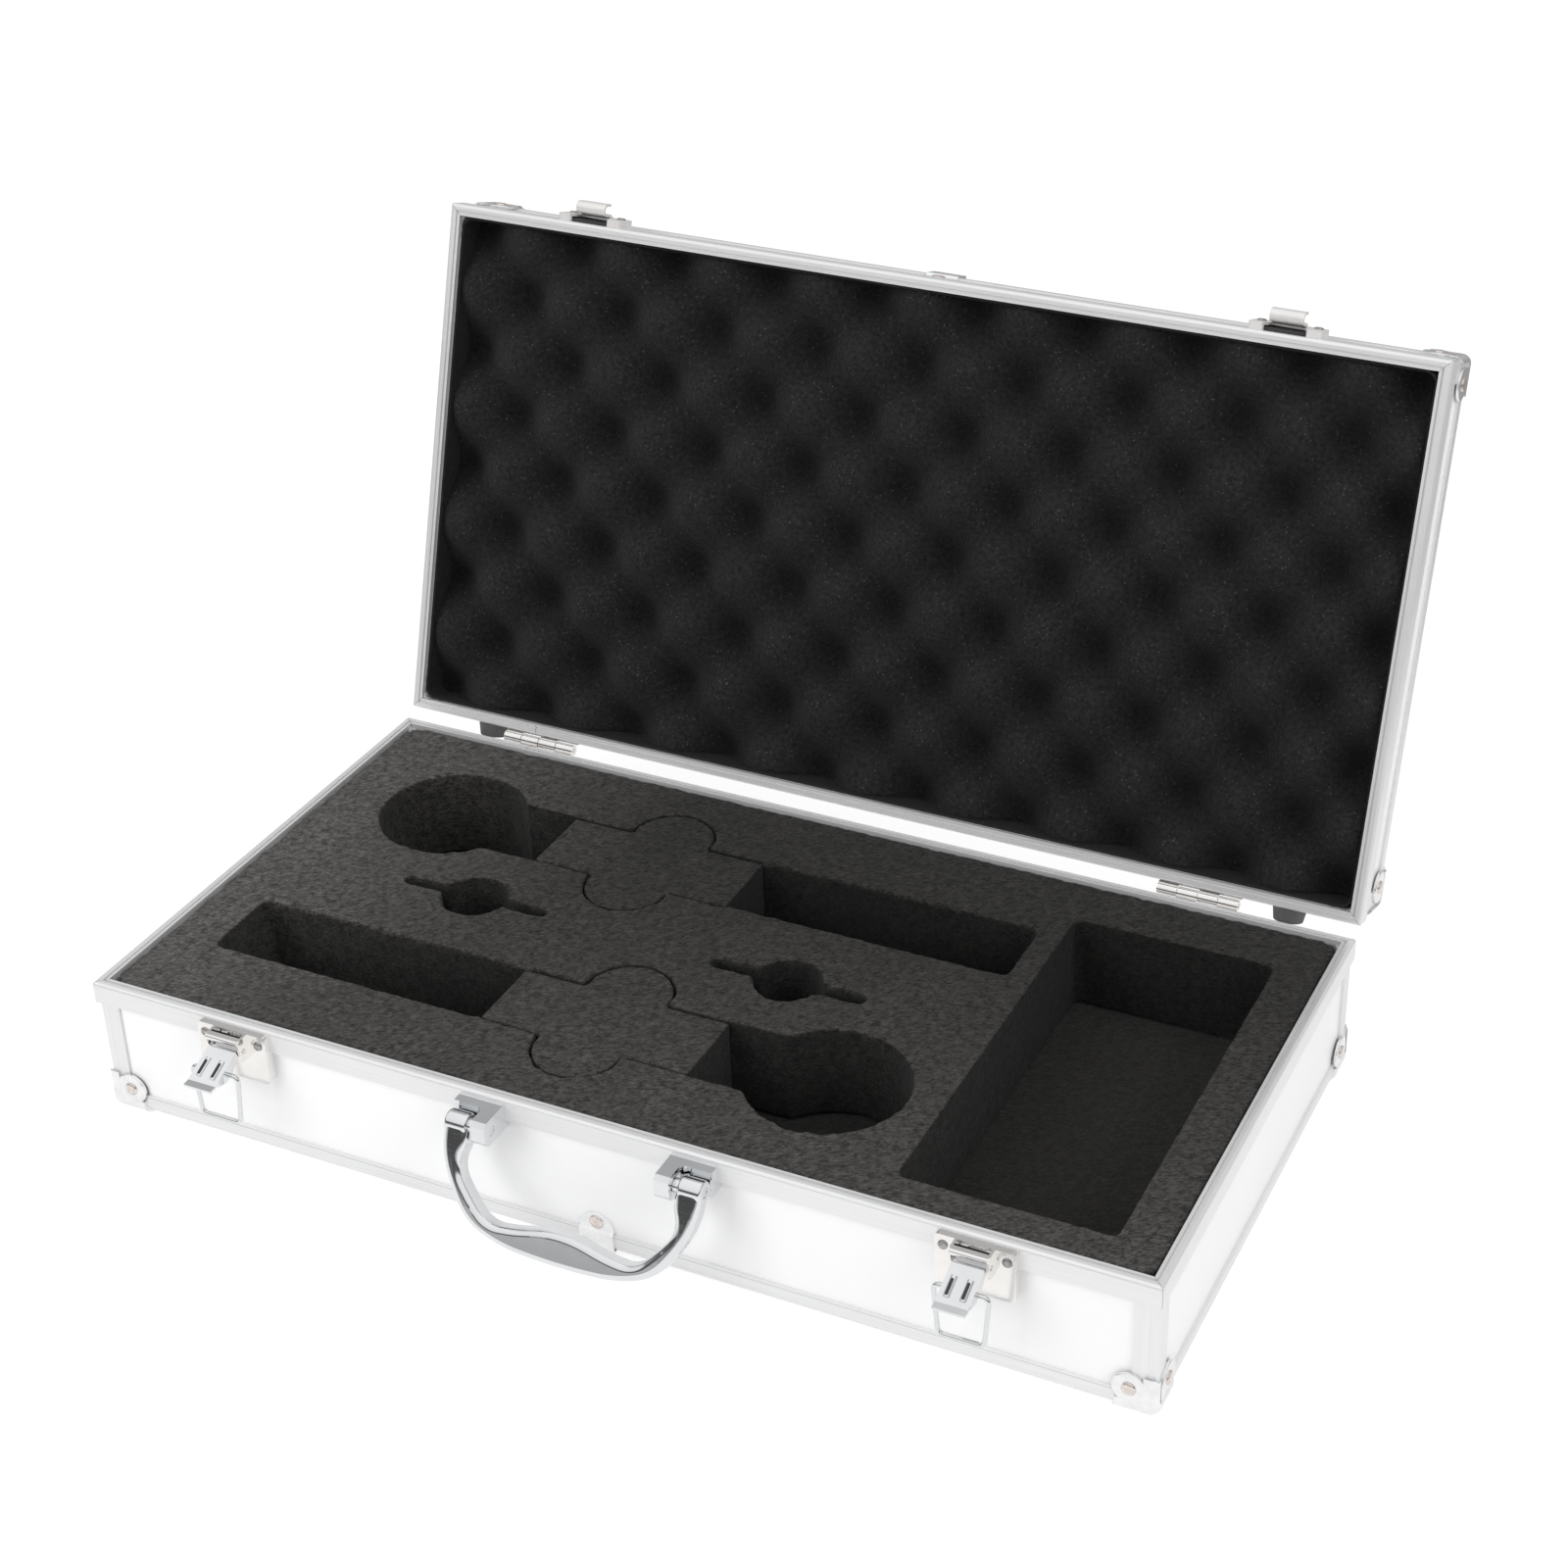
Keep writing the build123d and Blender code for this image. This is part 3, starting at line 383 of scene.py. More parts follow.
def profile_finish(name, colours, lid, along=None):
    """Satin anodised extrusion. With no single direction the lines follow the rim round its mitres. A darker line
    follows the rim's mitres; on the edging and posts it is painted shade at the top of the edging and round the caps'
    lobes.
    """
    finish = Finish(name, colours.profile, 0.42, 0.6)
    point = tray_point(finish, lid)
    if along is not None:
        lines = drawn_lines(finish, along, point)
        # painted shade at the top of the edging and round the caps' lobes
        mitre_joint_and_seat_shade = finish.maths("MULTIPLY", painted_seat_shade(finish, point, 0.0), 0.8)
    else:
        axes = finish.split(point)
        from_side = finish.maths("SUBTRACT", finish.maths("ABSOLUTE", axes["X"]), HALF_WIDTH)
        from_front = finish.maths("SUBTRACT", finish.maths("ABSOLUTE", axes["Y"]), HALF_DEPTH)
        difference = finish.maths("SUBTRACT", from_side, from_front)
        on_side = finish.maths("GREATER_THAN", difference, 0.0)
        lines = finish.blend(on_side, drawn_lines(finish, 0, point), drawn_lines(finish, 1, point))
        mitre_joint_and_seat_shade = finish.span(finish.maths("ABSOLUTE", difference), 0.1 * MM, 0.28 * MM, 1.0, 0.0)
    clouds = finish.noise(30.0, 4.0, 0.6, point)
    tint = finish.span(lines, 0.25, 0.75)
    colour = finish.blend(tint, finish.shade(0.95), finish.shade(1.05))
    # darker along the rim's mitre joints, and painted shade on the edging and posts
    colour = finish.blend(finish.maths("MULTIPLY", mitre_joint_and_seat_shade, 0.55), colour, finish.shade(0.25))
    cloudy = finish.span(clouds, 0.3, 0.7, -0.03, 0.05)
    roughness = finish.maths("ADD", finish.span(lines, 0.2, 0.8, 0.36, 0.46), cloudy)
    normal = finish.bump(lines, 0.012 * MM, 0.5)
    normal = finish.bump(finish.maths("MULTIPLY", mitre_joint_and_seat_shade, -1.0), 0.06 * MM, 0.8, normal)
    return finish.wear(colour, roughness, normal)


def pressing_finish(colours):
    """Pressed corner caps: bright sheet with soft tumbling marks."""
    finish = Finish("Pressed Cap", colours.pressing, 0.22, 1.0)
    marks = finish.noise(160.0, 4.0, 0.65)
    fine = finish.noise(1500.0, 2.0)
    colour = finish.blend(finish.span(marks, 0.3, 0.75), finish.shade(1.04), finish.shade(0.9))
    roughness = finish.span(marks, 0.25, 0.75, 0.16, 0.32)
    normal = finish.bump(fine, 0.008 * MM, 0.4)
    return finish.wear(colour, roughness, finish.bump(marks, 0.05 * MM, 0.35, normal))


def nickel_finish(name, tint, dullness):
    """Nickel plated sheet steel: warm, with rolled grain and a few soft stains."""
    finish = Finish(name, tint, 0.15, 1.0 - dullness)
    grain = finish.noise(1.0, 3.0, 0.6, finish.stretched((120.0, 700.0, 700.0)))
    clouds = finish.noise(70.0, 3.0, 0.5)
    colour = finish.blend(finish.span(clouds, 0.3, 0.7), finish.shade(1.03), finish.shade(0.95))
    roughness = finish.maths("ADD", finish.span(grain, 0.2, 0.8, 0.1, 0.16), finish.span(clouds, 0.3, 0.7, 0.0, 0.06))
    roughness = finish.maths("ADD", roughness, dullness)
    return finish.wear(colour, roughness, finish.bump(clouds, 0.02 * MM, 0.2))


def chrome_finish(colours):
    """Polished chrome over a casting: almost a mirror, with a slow ripple and faint hairlines."""
    finish = Finish("Polished Chrome", colours.chrome, 0.05, 1.0)
    ripple = finish.noise(55.0, 2.0, 0.4)
    hair = finish.noise(1.0, 2.0, 0.5, finish.stretched((300.0, 2400.0, 700.0)))
    colour = finish.blend(finish.span(ripple, 0.3, 0.7), finish.shade(1.03), finish.shade(0.95))
    roughness = finish.span(hair, 0.4, 0.8, 0.03, 0.09)
    return finish.wear(colour, roughness, finish.bump(ripple, 0.12 * MM, 0.35))


def wire_finish(colours):
    """Bright drawn wire and pins."""
    finish = Finish("Drawn Wire", colours.chrome, 0.12, 1.0)
    scratches = finish.noise(700.0, 3.0, 0.6)
    colour = finish.blend(scratches, finish.shade(0.86), finish.shade(1.04))
    roughness = finish.span(scratches, 0.3, 0.7, 0.08, 0.2)
    return finish.wear(colour, roughness, finish.bump(scratches, 0.01 * MM, 0.3))


def rivet_finish(colours):
    """Plated rivet heads with a rosy cast and fine specks, some duller."""
    finish = Finish("Rivet Plating", colours.rivet, 0.2, 1.0)
    specks = finish.noise(900.0, 4.0, 0.6)
    colour = finish.blend(finish.span(specks, 0.35, 0.7), finish.shade(1.1), finish.shade(0.82))
    roughness = finish.span(specks, 0.3, 0.7, 0.14, 0.3)
    return finish.wear(colour, roughness, finish.bump(specks, 0.02 * MM, 0.4))


def eyelet_finish(colours):
    """Plain steel eyelets, dull, their whole colour darkened as painted shade and dark reflection for their dished
    heads.
    """
    # painted shade and reflection: the nickel colour cut to 0.42 so the heads look dark
    finish = Finish("Eyelet Steel", [c * 0.42 for c in colours.nickel], 0.3, 1.0)
    specks = finish.noise(800.0, 4.0, 0.6)
    colour = finish.blend(finish.span(specks, 0.35, 0.7), finish.shade(1.5), finish.shade(0.5))
    return finish.wear(colour, finish.span(specks, 0.3, 0.7, 0.2, 0.4), finish.bump(specks, 0.03 * MM, 0.5))


def rubber_finish(name, tint):
    """Moulded rubber with a matt, faintly pitted skin."""
    finish = Finish(name, tint, 0.75)
    pits = finish.noise(1300.0, 3.0, 0.6)
    dust_and_painted_light = finish.noise(70.0, 4.0, 0.6)
    colour = finish.blend(finish.span(dust_and_painted_light, 0.4, 0.8), finish.colour, finish.shade(1.6))
    roughness = finish.span(pits, 0.3, 0.7, 0.62, 0.85)
    return finish.wear(colour, roughness, finish.bump(pits, 0.04 * MM, 0.5))


def block_foam_finish(name, tint, fuzz, painted_light_levels):
    """Cut open-cell foam: a felt of short pale strands, with painted light brightening it towards one end and the
    front, and painted shade darkening its cut walls.
    """
    finish = Finish(name, tint, 0.95)
    axes = finish.split(finish.object)
    # painted light: the foam is lit brighter towards the left end and the front of the case
    painted_end_light = finish.span(axes["X"], -HALF_WIDTH, -HALF_WIDTH + PAINTED_LIGHT_FROM_END, 1.0, 0.0)
    painted_front_light = finish.span(axes["Y"], CASE_MIDDLE_Y - HALF_DEPTH, CASE_MIDDLE_Y + PAINTED_LIGHT_FROM_MIDDLE, 0.45, 0.0)
    dust_and_painted_light = finish.maths("MAXIMUM", painted_end_light, painted_front_light)
    lying = finish.stretched((1, 1, 1), turn=(0, 0, radians(-24)))
    askew = finish.stretched((1, 1, 1), turn=(0, 0, radians(-52)))
    strands = finish.noise(1.0, 4.0, 0.6, finish.stretched((400.0, 1250.0, 1250.0), lying), 0.7)
    crossed = finish.noise(1.0, 4.0, 0.6, finish.stretched((450.0, 1000.0, 1000.0), askew), 0.7)
    tufts = finish.noise(300.0, 3.0, 0.6, None, 0.6)
    pores = finish.cells(1100.0)
    clouds = finish.noise(34.0, 4.0, 0.55)
    tangle = finish.maths("ADD", finish.maths("MULTIPLY", strands, 0.6), finish.maths("MULTIPLY", crossed, 0.4))
    mixed = finish.maths("ADD", finish.maths("MULTIPLY", tangle, 0.72), finish.maths("MULTIPLY", tufts, 0.28))
    lit = finish.span(mixed, 0.42, 0.60)
    colour = finish.blend(lit, finish.shade(1.0 - 0.62 * fuzz), finish.shade(1.0 + 1.15 * fuzz))
    colour = finish.blend(finish.span(clouds, 0.3, 0.7, 0.0, 0.3), colour, finish.shade(0.66))
    # painted shade inside the pores
    colour = finish.blend(finish.span(pores, 0.0, 0.35, 0.5, 0.0), colour, finish.shade(0.3))
    facing = finish.split(finish.add("ShaderNodeNewGeometry").outputs["Normal"])
    # painted shade: steep cut faces darker than level ones
    painted_wall_shade = finish.span(facing["Z"], 0.25, 0.8, 0.4, 1.0)
    # this lift carries the painted light and shade into the colour
    lift = finish.add("ShaderNodeHueSaturation")
    finish.put(lift.inputs["Color"], colour)
    finish.put(lift.inputs["Value"], finish.maths("MULTIPLY", painted_wall_shade, finish.span(dust_and_painted_light, 0.0, 1.0, *painted_light_levels)))
    height = finish.maths("ADD", mixed, finish.maths("MULTIPLY", pores, 0.35))
    finish.shader.inputs["Sheen Weight"].default_value = 0.05
    finish.shader.inputs["Sheen Roughness"].default_value = 0.6
    finish.shader.inputs["Specular IOR Level"].default_value = 0.1
    return finish.wear(lift.outputs["Color"], None, finish.bump(height, 0.8 * MM, 0.9))


def lid_foam_finish(colours):
    """Convoluted foam: fine open cells with a scatter of pale fibre ends, and painted light and shade: lighter on the
    peaks, darker down the valleys.
    """
    finish = Finish("Convoluted Foam", colours.lid_foam, 0.95)
    cells = finish.cells(1100.0)
    tufts = finish.noise(650.0, 4.0, 0.65)
    fibre = finish.cells(480.0)
    lucky = finish.noise(260.0, 2.0)
    fleck = finish.maths("MULTIPLY", finish.span(fibre, 0.08, 0.2, 1.0, 0.0), finish.span(lucky, 0.44, 0.54))
    colour = finish.blend(finish.span(tufts, 0.35, 0.7), finish.shade(0.6), finish.shade(1.6))
    # painted shade inside the open cells
    colour = finish.blend(finish.span(cells, 0.0, 0.3, 0.5, 0.0), colour, finish.shade(0.4))
    colour = finish.blend(finish.maths("MULTIPLY", fleck, 0.6), colour, (0.09, 0.09, 0.09, 1.0))
    axes = finish.split(tray_point(finish, True))
    peak = tray_box("lid_foam", LID_TRAY)[1].z
    into_lid = finish.maths("SUBTRACT", PARTING_Z + LID_HEIGHT, axes["Z"])
    # painted light and shade: peaks lighter, valleys darker with depth into the lid
    lift = finish.add("ShaderNodeHueSaturation")
    finish.put(lift.inputs["Color"], colour)
    finish.put(lift.inputs["Value"], finish.span(into_lid, peak - 14 * MM, peak - 2 * MM, 0.55, 1.24))
    height = finish.maths("ADD", tufts, finish.maths("MULTIPLY", cells, 0.4))
    finish.shader.inputs["Sheen Weight"].default_value = 0.06
    finish.shader.inputs["Specular IOR Level"].default_value = 0.12
    return finish.wear(lift.outputs["Color"], None, finish.bump(height, 0.4 * MM, 0.7))


def felt_finish(colours):
    """Black felt lining with a short nap."""
    finish = Finish("Felt Lining", colours.lid_foam, 0.95)
    nap = finish.noise(1.0, 4.0, 0.7, finish.stretched((900.0, 900.0, 500.0)))
    colour = finish.blend(finish.span(nap, 0.3, 0.7), finish.shade(0.4), finish.shade(1.3))
    return finish.wear(colour, None, finish.bump(nap, 0.2 * MM, 0.6))


def make_finishes(colours):
    """Every finish, under the key its pieces ask for."""
    return {
        "base_board": board_finish("Base Board", colours, False),
        "lid_board": board_finish("Lid Board", colours, True),
        "base_rim": profile_finish("Base Rim Profile", colours, False),
        "lid_rim": profile_finish("Lid Rim Profile", colours, True),
        "base_along": profile_finish("Base Edging Along", colours, False, 0),
        "base_across": profile_finish("Base Edging Across", colours, False, 1),
        "base_upright": profile_finish("Base Corner Posts", colours, False, 2),
        "lid_along": profile_finish("Lid Edging Along", colours, True, 0),
        "lid_across": profile_finish("Lid Edging Across", colours, True, 1),
        "lid_upright": profile_finish("Lid Corner Posts", colours, True, 2),
        "pressing": pressing_finish(colours),
        "nickel": nickel_finish("Nickel Sheet", colours.nickel, 0.0),
        "catch": nickel_finish("Satin Nickel Sheet", colours.nickel, 0.35),
        "chrome": chrome_finish(colours),
        "wire": wire_finish(colours),
        "rivet": rivet_finish(colours),
        "eyelet": eyelet_finish(colours),
        # the dark sheets painted as shade behind latches and catches and on the lever ribs
        "rubber": rubber_finish("Moulded Rubber", colours.rubber),
        "foot": rubber_finish("Grey Foot Rubber", colours.feet),
        # the last pair gives the two brightness levels of the painted light gradient
        "foam": block_foam_finish("Block Foam", colours.foam, 1.0, (0.5, 1.85)),
        "pad": block_foam_finish("Pad Foam", [c * 0.56 for c in colours.foam], 0.5, (1.0, 0.9)),
        "lid_foam": lid_foam_finish(colours),
        "felt": felt_finish(colours),
    }


def finish_for(node):
    """The finish key of a CAD node, from its name."""
    tray = "lid" if node.startswith("lid_") else "base"
    if node.endswith("_panel"):
        return f"{tray}_board"
    if node.endswith("_rim"):
        return f"{tray}_rim"
    if node.endswith("_corner_posts"):
        return f"{tray}_upright"
    if node.endswith("_edging"):
        across = "left" in node or "right" in node
        return f"{tray}_across" if across else f"{tray}_along"
    if node.endswith("_cap") or node.endswith("_clips"):
        return "pressing"
    if node.endswith("_feet"):
        return "foot"
    if node.endswith("_lid_catch"):
        return "catch"
    if node == "handle" or "bracket" in node or "_lever" in node:
        return "chrome"
    if node.endswith("_pins") or node.endswith("_springs") or node.endswith("_loop"):
        return "wire"
    if node == "base_foam_pad":
        return "pad"
    if node == "lid_foam":
        return "lid_foam"
    if "foam" in node or node.endswith("_plug"):
        return "foam"
    return "nickel"


# ---- Mesh helpers ----


def keep(bm, name, finish, smooth=True):
    """Turns a finished bmesh into an object at the origin with one material."""
    bmesh.ops.remove_doubles(bm, verts=bm.verts, dist=1e-7)
    bmesh.ops.recalc_face_normals(bm, faces=bm.faces)
    mesh = bpy.data.meshes.new(name)
    bm.to_mesh(mesh)
    bm.free()
    mesh.polygons.foreach_set("use_smooth", [smooth] * len(mesh.polygons))
    piece = bpy.data.objects.new(name, mesh)
    bpy.context.scene.collection.objects.link(piece)
    mesh.materials.append(bpy.data.materials[finish])
    return piece


def place_on(point, normal):
    """A frame standing on a surface: its Z axis is the surface's normal."""
    return Matrix.Translation(point) @ Vector(normal).to_track_quat("Z", "Y").to_matrix().to_4x4()


def lathe(bm, outline, steps, place):
    """A turned solid from an outline of (radius, height) points that starts and ends on its axis."""
    others = set(bm.verts)
    verts = [bm.verts.new((radius, 0, height)) for radius, height in outline]
    edges = [bm.edges.new(pair) for pair in zip(verts, verts[1:])]
    turn = {"axis": (0, 0, 1), "cent": (0, 0, 0), "angle": 2 * pi}
    bmesh.ops.spin(bm, geom=verts + edges, steps=steps, use_merge=True, **turn)
    bmesh.ops.transform(bm, matrix=place, verts=[v for v in bm.verts if v not in others])


def flat_grid(bm, half_x, half_y, segments=(1, 1)):
    """A level grid about the origin, returned as its vertices."""
    verts = bmesh.ops.create_grid(bm, x_segments=segments[0], y_segments=segments[1], size=1.0)["verts"]
    bmesh.ops.scale(bm, vec=(half_x, half_y, 1.0), verts=verts)
    return verts


def round_corners(bm, verts, radius, segments):
    """Rounds the corners of a flat face."""
    bmesh.ops.bevel(bm, geom=verts, offset=radius, segments=segments, affect="VERTICES", profile=0.5, material=-1)


def raise_faces(bm, faces, height):
    """Extrudes faces upwards and returns the raised vertices."""
    raised = bmesh.ops.extrude_face_region(bm, geom=faces)
    top = [v for v in raised["geom"] if isinstance(v, bmesh.types.BMVert)]
    bmesh.ops.translate(bm, vec=(0, 0, height), verts=top)
    return top


def sheet(bm, half_width, half_height, thickness, corner, place):
    """A thin plate with rounded corners, lying on its place and standing up by its thickness."""
    others = set(bm.verts)
    round_corners(bm, flat_grid(bm, half_width, half_height), corner, 4)
    raise_faces(bm, [f for f in bm.faces if not others.intersection(f.verts)], thickness)
    bmesh.ops.transform(bm, matrix=place, verts=[v for v in bm.verts if v not in others])


def voxel_copy(node, name, finish, voxel):
    """An evenly meshed copy of a CAD node, ready to be softened."""
    bm = bmesh.new()
    bm.from_mesh(frame["nodes"][node].data)
    bmesh.ops.remove_doubles(bm, verts=bm.verts, dist=1e-6)
    mesh = bpy.data.meshes.new(name)
    bm.to_mesh(mesh)
    bm.free()
    piece = bpy.data.objects.new(name, mesh)
    bpy.context.scene.collection.objects.link(piece)
    remesh = piece.modifiers.new("Even Mesh", "REMESH")
    remesh.mode = "VOXEL"
    remesh.voxel_size = voxel
    view = bpy.context.evaluated_depsgraph_get()
    even = bpy.data.meshes.new_from_object(piece.evaluated_get(view))
    piece.modifiers.remove(remesh)
    piece.data = even
    even.polygons.foreach_set("use_smooth", [True] * len(even.polygons))
    even.materials.clear()
    even.materials.append(bpy.data.materials[finish])
    return piece


def soften(piece, wander, smoothing, node, swell=0.0):
    """Smooths a foam piece, lets its cut faces wander inwards, and keeps it in its solid's box."""
    low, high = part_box(node)
    bm = bmesh.new()
    bm.from_mesh(piece.data)
    for _ in range(smoothing):
        bmesh.ops.smooth_vert(bm, verts=bm.verts, factor=0.5, use_axis_x=True, use_axis_y=True, use_axis_z=True)
    bm.normal_update()
    for vert in bm.verts:
        coarse = noise(vert.co * 160.0)
        fine = noise(vert.co * 420.0 + Vector((7.0, 3.0, 5.0)))
        vert.co -= vert.normal * (wander * (0.5 + 0.5 * coarse + 0.45 * fine) - swell)
        for axis in range(3):
            vert.co[axis] = min(max(vert.co[axis], low[axis]), high[axis])
    bm.to_mesh(piece.data)
    bm.free()


# ---- Operators: the case ----


class MICCASE_OT_finishes(bpy.types.Operator):
    """Give every CAD node its finish"""

    bl_idname = "miccase.finishes"
    bl_label = "Finishes"

    def execute(self, context):
        finishes = make_finishes(context.scene.miccase_colours)
        for name, node in frame["nodes"].items():
            node.data.materials.clear()
            node.data.materials.append(finishes[finish_for(name)])
        return {"FINISHED"}


class MICCASE_OT_base_foam(bpy.types.Operator):
    """Make the cut block, its two plugs and the pad below them"""

    bl_idname = "miccase.base_foam"
    bl_label = "Base Foam"

    def execute(self, context):
        sizes = context.scene.miccase_foam
        recipes = (
            ("base_foam_block", "cut_foam_block", "Block Foam", sizes.block_voxel, sizes.raggedness, 2, 0.0),
            ("front_mic_plug", "front_foam_plug", "Block Foam", sizes.plug_voxel, PLUG_RAGGEDNESS, 1, sizes.swell),
            ("rear_mic_plug", "rear_foam_plug", "Block Foam", sizes.plug_voxel, PLUG_RAGGEDNESS, 1, sizes.swell),
            ("base_foam_pad", "foam_floor_pad", "Pad Foam", sizes.pad_voxel, sizes.raggedness, 1, 0.0),
        )
        for node, name, finish, voxel, wander, smoothing, swell in recipes:
            piece = voxel_copy(node, name, finish, voxel)
            soften(piece, wander, smoothing, node, swell)
            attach(piece, "base")
            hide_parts(node)
        return {"FINISHED"}


def crest(x, y, sizes):
    """Height of the convoluted foam from valley, 0, to peak, 1."""
    wave = cos(2 * pi * x / sizes.peak_pitch_x) * cos(2 * pi * y / sizes.peak_pitch_y)
    return (0.5 + 0.5 * wave) ** 0.85


class MICCASE_OT_lid_foam(bpy.types.Operator):
    """Make the convoluted lid foam and the felt round it"""

    bl_idname = "miccase.lid_foam"
    bl_label = "Lid Foam"

    def execute(self, context):
        sizes = context.scene.miccase_foam
        low, high = tray_box("lid_foam", LID_TRAY)
        bm = bmesh.new()
        for vert in flat_grid(bm, high.x - sizes.lining, high.y - sizes.lining, LID_FOAM_GRID):
            height = crest(vert.co.x, vert.co.y, sizes)
            rough = 0.35 * MM * noise(vert.co * 210.0)
            vert.co.z = high.z - PEAK_SINK - sizes.valley_depth * (1 - height) + rough
        rim = [e for e in bm.edges if e.is_boundary]
        walls = bmesh.ops.extrude_edge_only(bm, edges=rim)
        for vert in [v for v in walls["geom"] if isinstance(v, bmesh.types.BMVert)]:
            vert.co.z = low.z
        bmesh.ops.holes_fill(bm, edges=[e for e in bm.edges if e.is_boundary])
        bmesh.ops.transform(bm, matrix=LID_TRAY, verts=bm.verts)
        foam = keep(bm, "lid_convoluted_foam", "Convoluted Foam")
        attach(foam, "lid")
        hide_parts("lid_foam")

        bm = bmesh.new()
        round_corners(bm, flat_grid(bm, high.x, high.y), FELT_CORNER, 6)
        ring = bmesh.ops.inset_region(
            bm, faces=list(bm.faces), use_boundary=True, use_even_offset=True, thickness=sizes.lining * 0.95
        )
        inner = [f for f in bm.faces if f not in ring["faces"]]
        bmesh.ops.delete(bm, geom=inner, context="FACES")
        bmesh.ops.translate(bm, vec=(0, 0, low.z), verts=bm.verts)
        raise_faces(bm, list(bm.faces), high.z - low.z - FELT_DROP)
        bmesh.ops.transform(bm, matrix=LID_TRAY, verts=bm.verts)
        felt = keep(bm, "lid_felt_lining", "Felt Lining", smooth=False)
        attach(felt, "lid")
        return {"FINISHED"}


def rivet_outline(radius, height):
    """Half the outline of a domed, slightly dished rivet head."""
    return [
        (0.0, height * 0.92),
        (radius * 0.35, height * 0.98),
        (radius * 0.62, height),
        (radius * 0.86, height * 0.78),
        (radius, height * 0.3),
        (radius, -0.15 * MM),
        (0.0, -0.15 * MM),
    ]


def corner_rivets(sizes, with_flat):
    """(point, normal, radius) of the rivets in the four corner caps, in the tray's frame."""
    inset, proud = CAP_RIVET_INSET, CAP_THICKNESS
    spots = []
    for sx, sy in CORNERS:
        x, y = sx * (BODY_X - inset), sy * (BODY_Y - inset)
        spots.append(((x, sy * (BODY_Y + proud), inset), (0, sy, 0), sizes.corner_radius))
        spots.append(((sx * (BODY_X + proud), y, inset), (sx, 0, 0), sizes.corner_radius))
        if with_flat:
            spots.append(((x, y, -proud), (0, 0, -1), sizes.corner_radius))
    return spots


def clip_rivets(sizes):
    """The rivets of the two edging clips, in the tray's frame."""
    out = HALF_DEPTH - RIM_SKIRT + CLIP_THICKNESS
    return [((0, side * out, CLIP_RIVET_HEIGHT), (0, side, 0), sizes.clip_radius) for side in (-1, 1)]


def plate_rivets(sizes, body):
    """The rivets of latch plates, catches and hinge leaves on one body, in its tray's frame."""
    tray = {"base": BASE_TRAY, "lid": LID_TRAY}[body]
    radius = sizes.plate_radius
    spots = []
    for side in ("left", "right"):
        plate = f"{side}_latch_plate" if body == "base" else f"{side}_lid_catch"
        low, high = tray_box(plate, tray)
        height = high.z - PLATE_RIVET_DROP if body == "base" else low.z + PLATE_RIVET_DROP
        for x in (low.x + PLATE_RIVET_INSET, high.x - PLATE_RIVET_INSET):
            spots.append(((x, -HALF_DEPTH - PLATE_FACE, height), (0, -1, 0), radius))
        low, high = tray_box(f"{side}_hinge_{body}_leaf", tray)
        middle = (low.x + high.x) / 2
        for x in (low.x + LEAF_RIVET_INSET, middle, high.x - LEAF_RIVET_INSET):
            point = (x, HALF_DEPTH + LEAF_THICKNESS, low.z + LEAF_RIVET_HEIGHT)
            spots.append((point, (0, 1, 0), radius * 0.9))
    return spots


class MICCASE_OT_rivets(bpy.types.Operator):
    """Head every rivet of the caps, clips, latches, catches and hinges"""

    bl_idname = "miccase.rivets"
    bl_label = "Rivets"

    def execute(self, context):
        sizes = context.scene.miccase_rivets
        for body, tray, with_flat in (("base", BASE_TRAY, False), ("lid", LID_TRAY, True)):
            groups = (
                ("rivets", "Rivet Plating", corner_rivets(sizes, with_flat) + clip_rivets(sizes)),
                ("plate_rivets", "Eyelet Steel", plate_rivets(sizes, body)),
            )
            for name, finish, spots in groups:
                bm = bmesh.new()
                for point, normal, radius in spots:
                    place = tray @ place_on(point, normal)
                    lathe(bm, rivet_outline(radius, sizes.head_height), sizes.head_steps, place)
                piece = keep(bm, f"{body}_{name}", finish)
                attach(piece, body)
        return {"FINISHED"}


def screw_outline(radius, height):
    """Half the outline of a pan-head screw with a socket."""
    return [
        (0.0, height * 0.35),
        (radius * 0.3, height * 0.4),
        (radius * 0.38, height * 0.95),
        (radius * 0.7, height * 0.9),
        (radius * 0.95, height * 0.6),
        (radius, 0.1 * MM),
        (radius, -0.1 * MM),
        (0.0, -0.1 * MM),
    ]


def cap_lobe(bm, thickness, edge, place):
    """One lobe of a corner cap: a thin disc, squared where it runs into the cap's strips."""
    others = set(bm.verts)
    rim = bmesh.ops.create_circle(bm, cap_ends=True, segments=40, radius=LOBE_RADIUS)["verts"]
    for vert in rim:
        if vert.co.x < 0 and vert.co.y < 0:
            vert.co *= LOBE_RADIUS / max(-vert.co.x, -vert.co.y)
    top = set(raise_faces(bm, [f for f in bm.faces if not others.intersection(f.verts)], thickness))
    rounded = [e for e in bm.edges if top.issuperset(e.verts)]
    bmesh.ops.bevel(bm, geom=rounded, offset=edge, segments=3, affect="EDGES", profile=0.5, material=-1)
    bmesh.ops.transform(bm, matrix=place, verts=[v for v in bm.verts if v not in others])


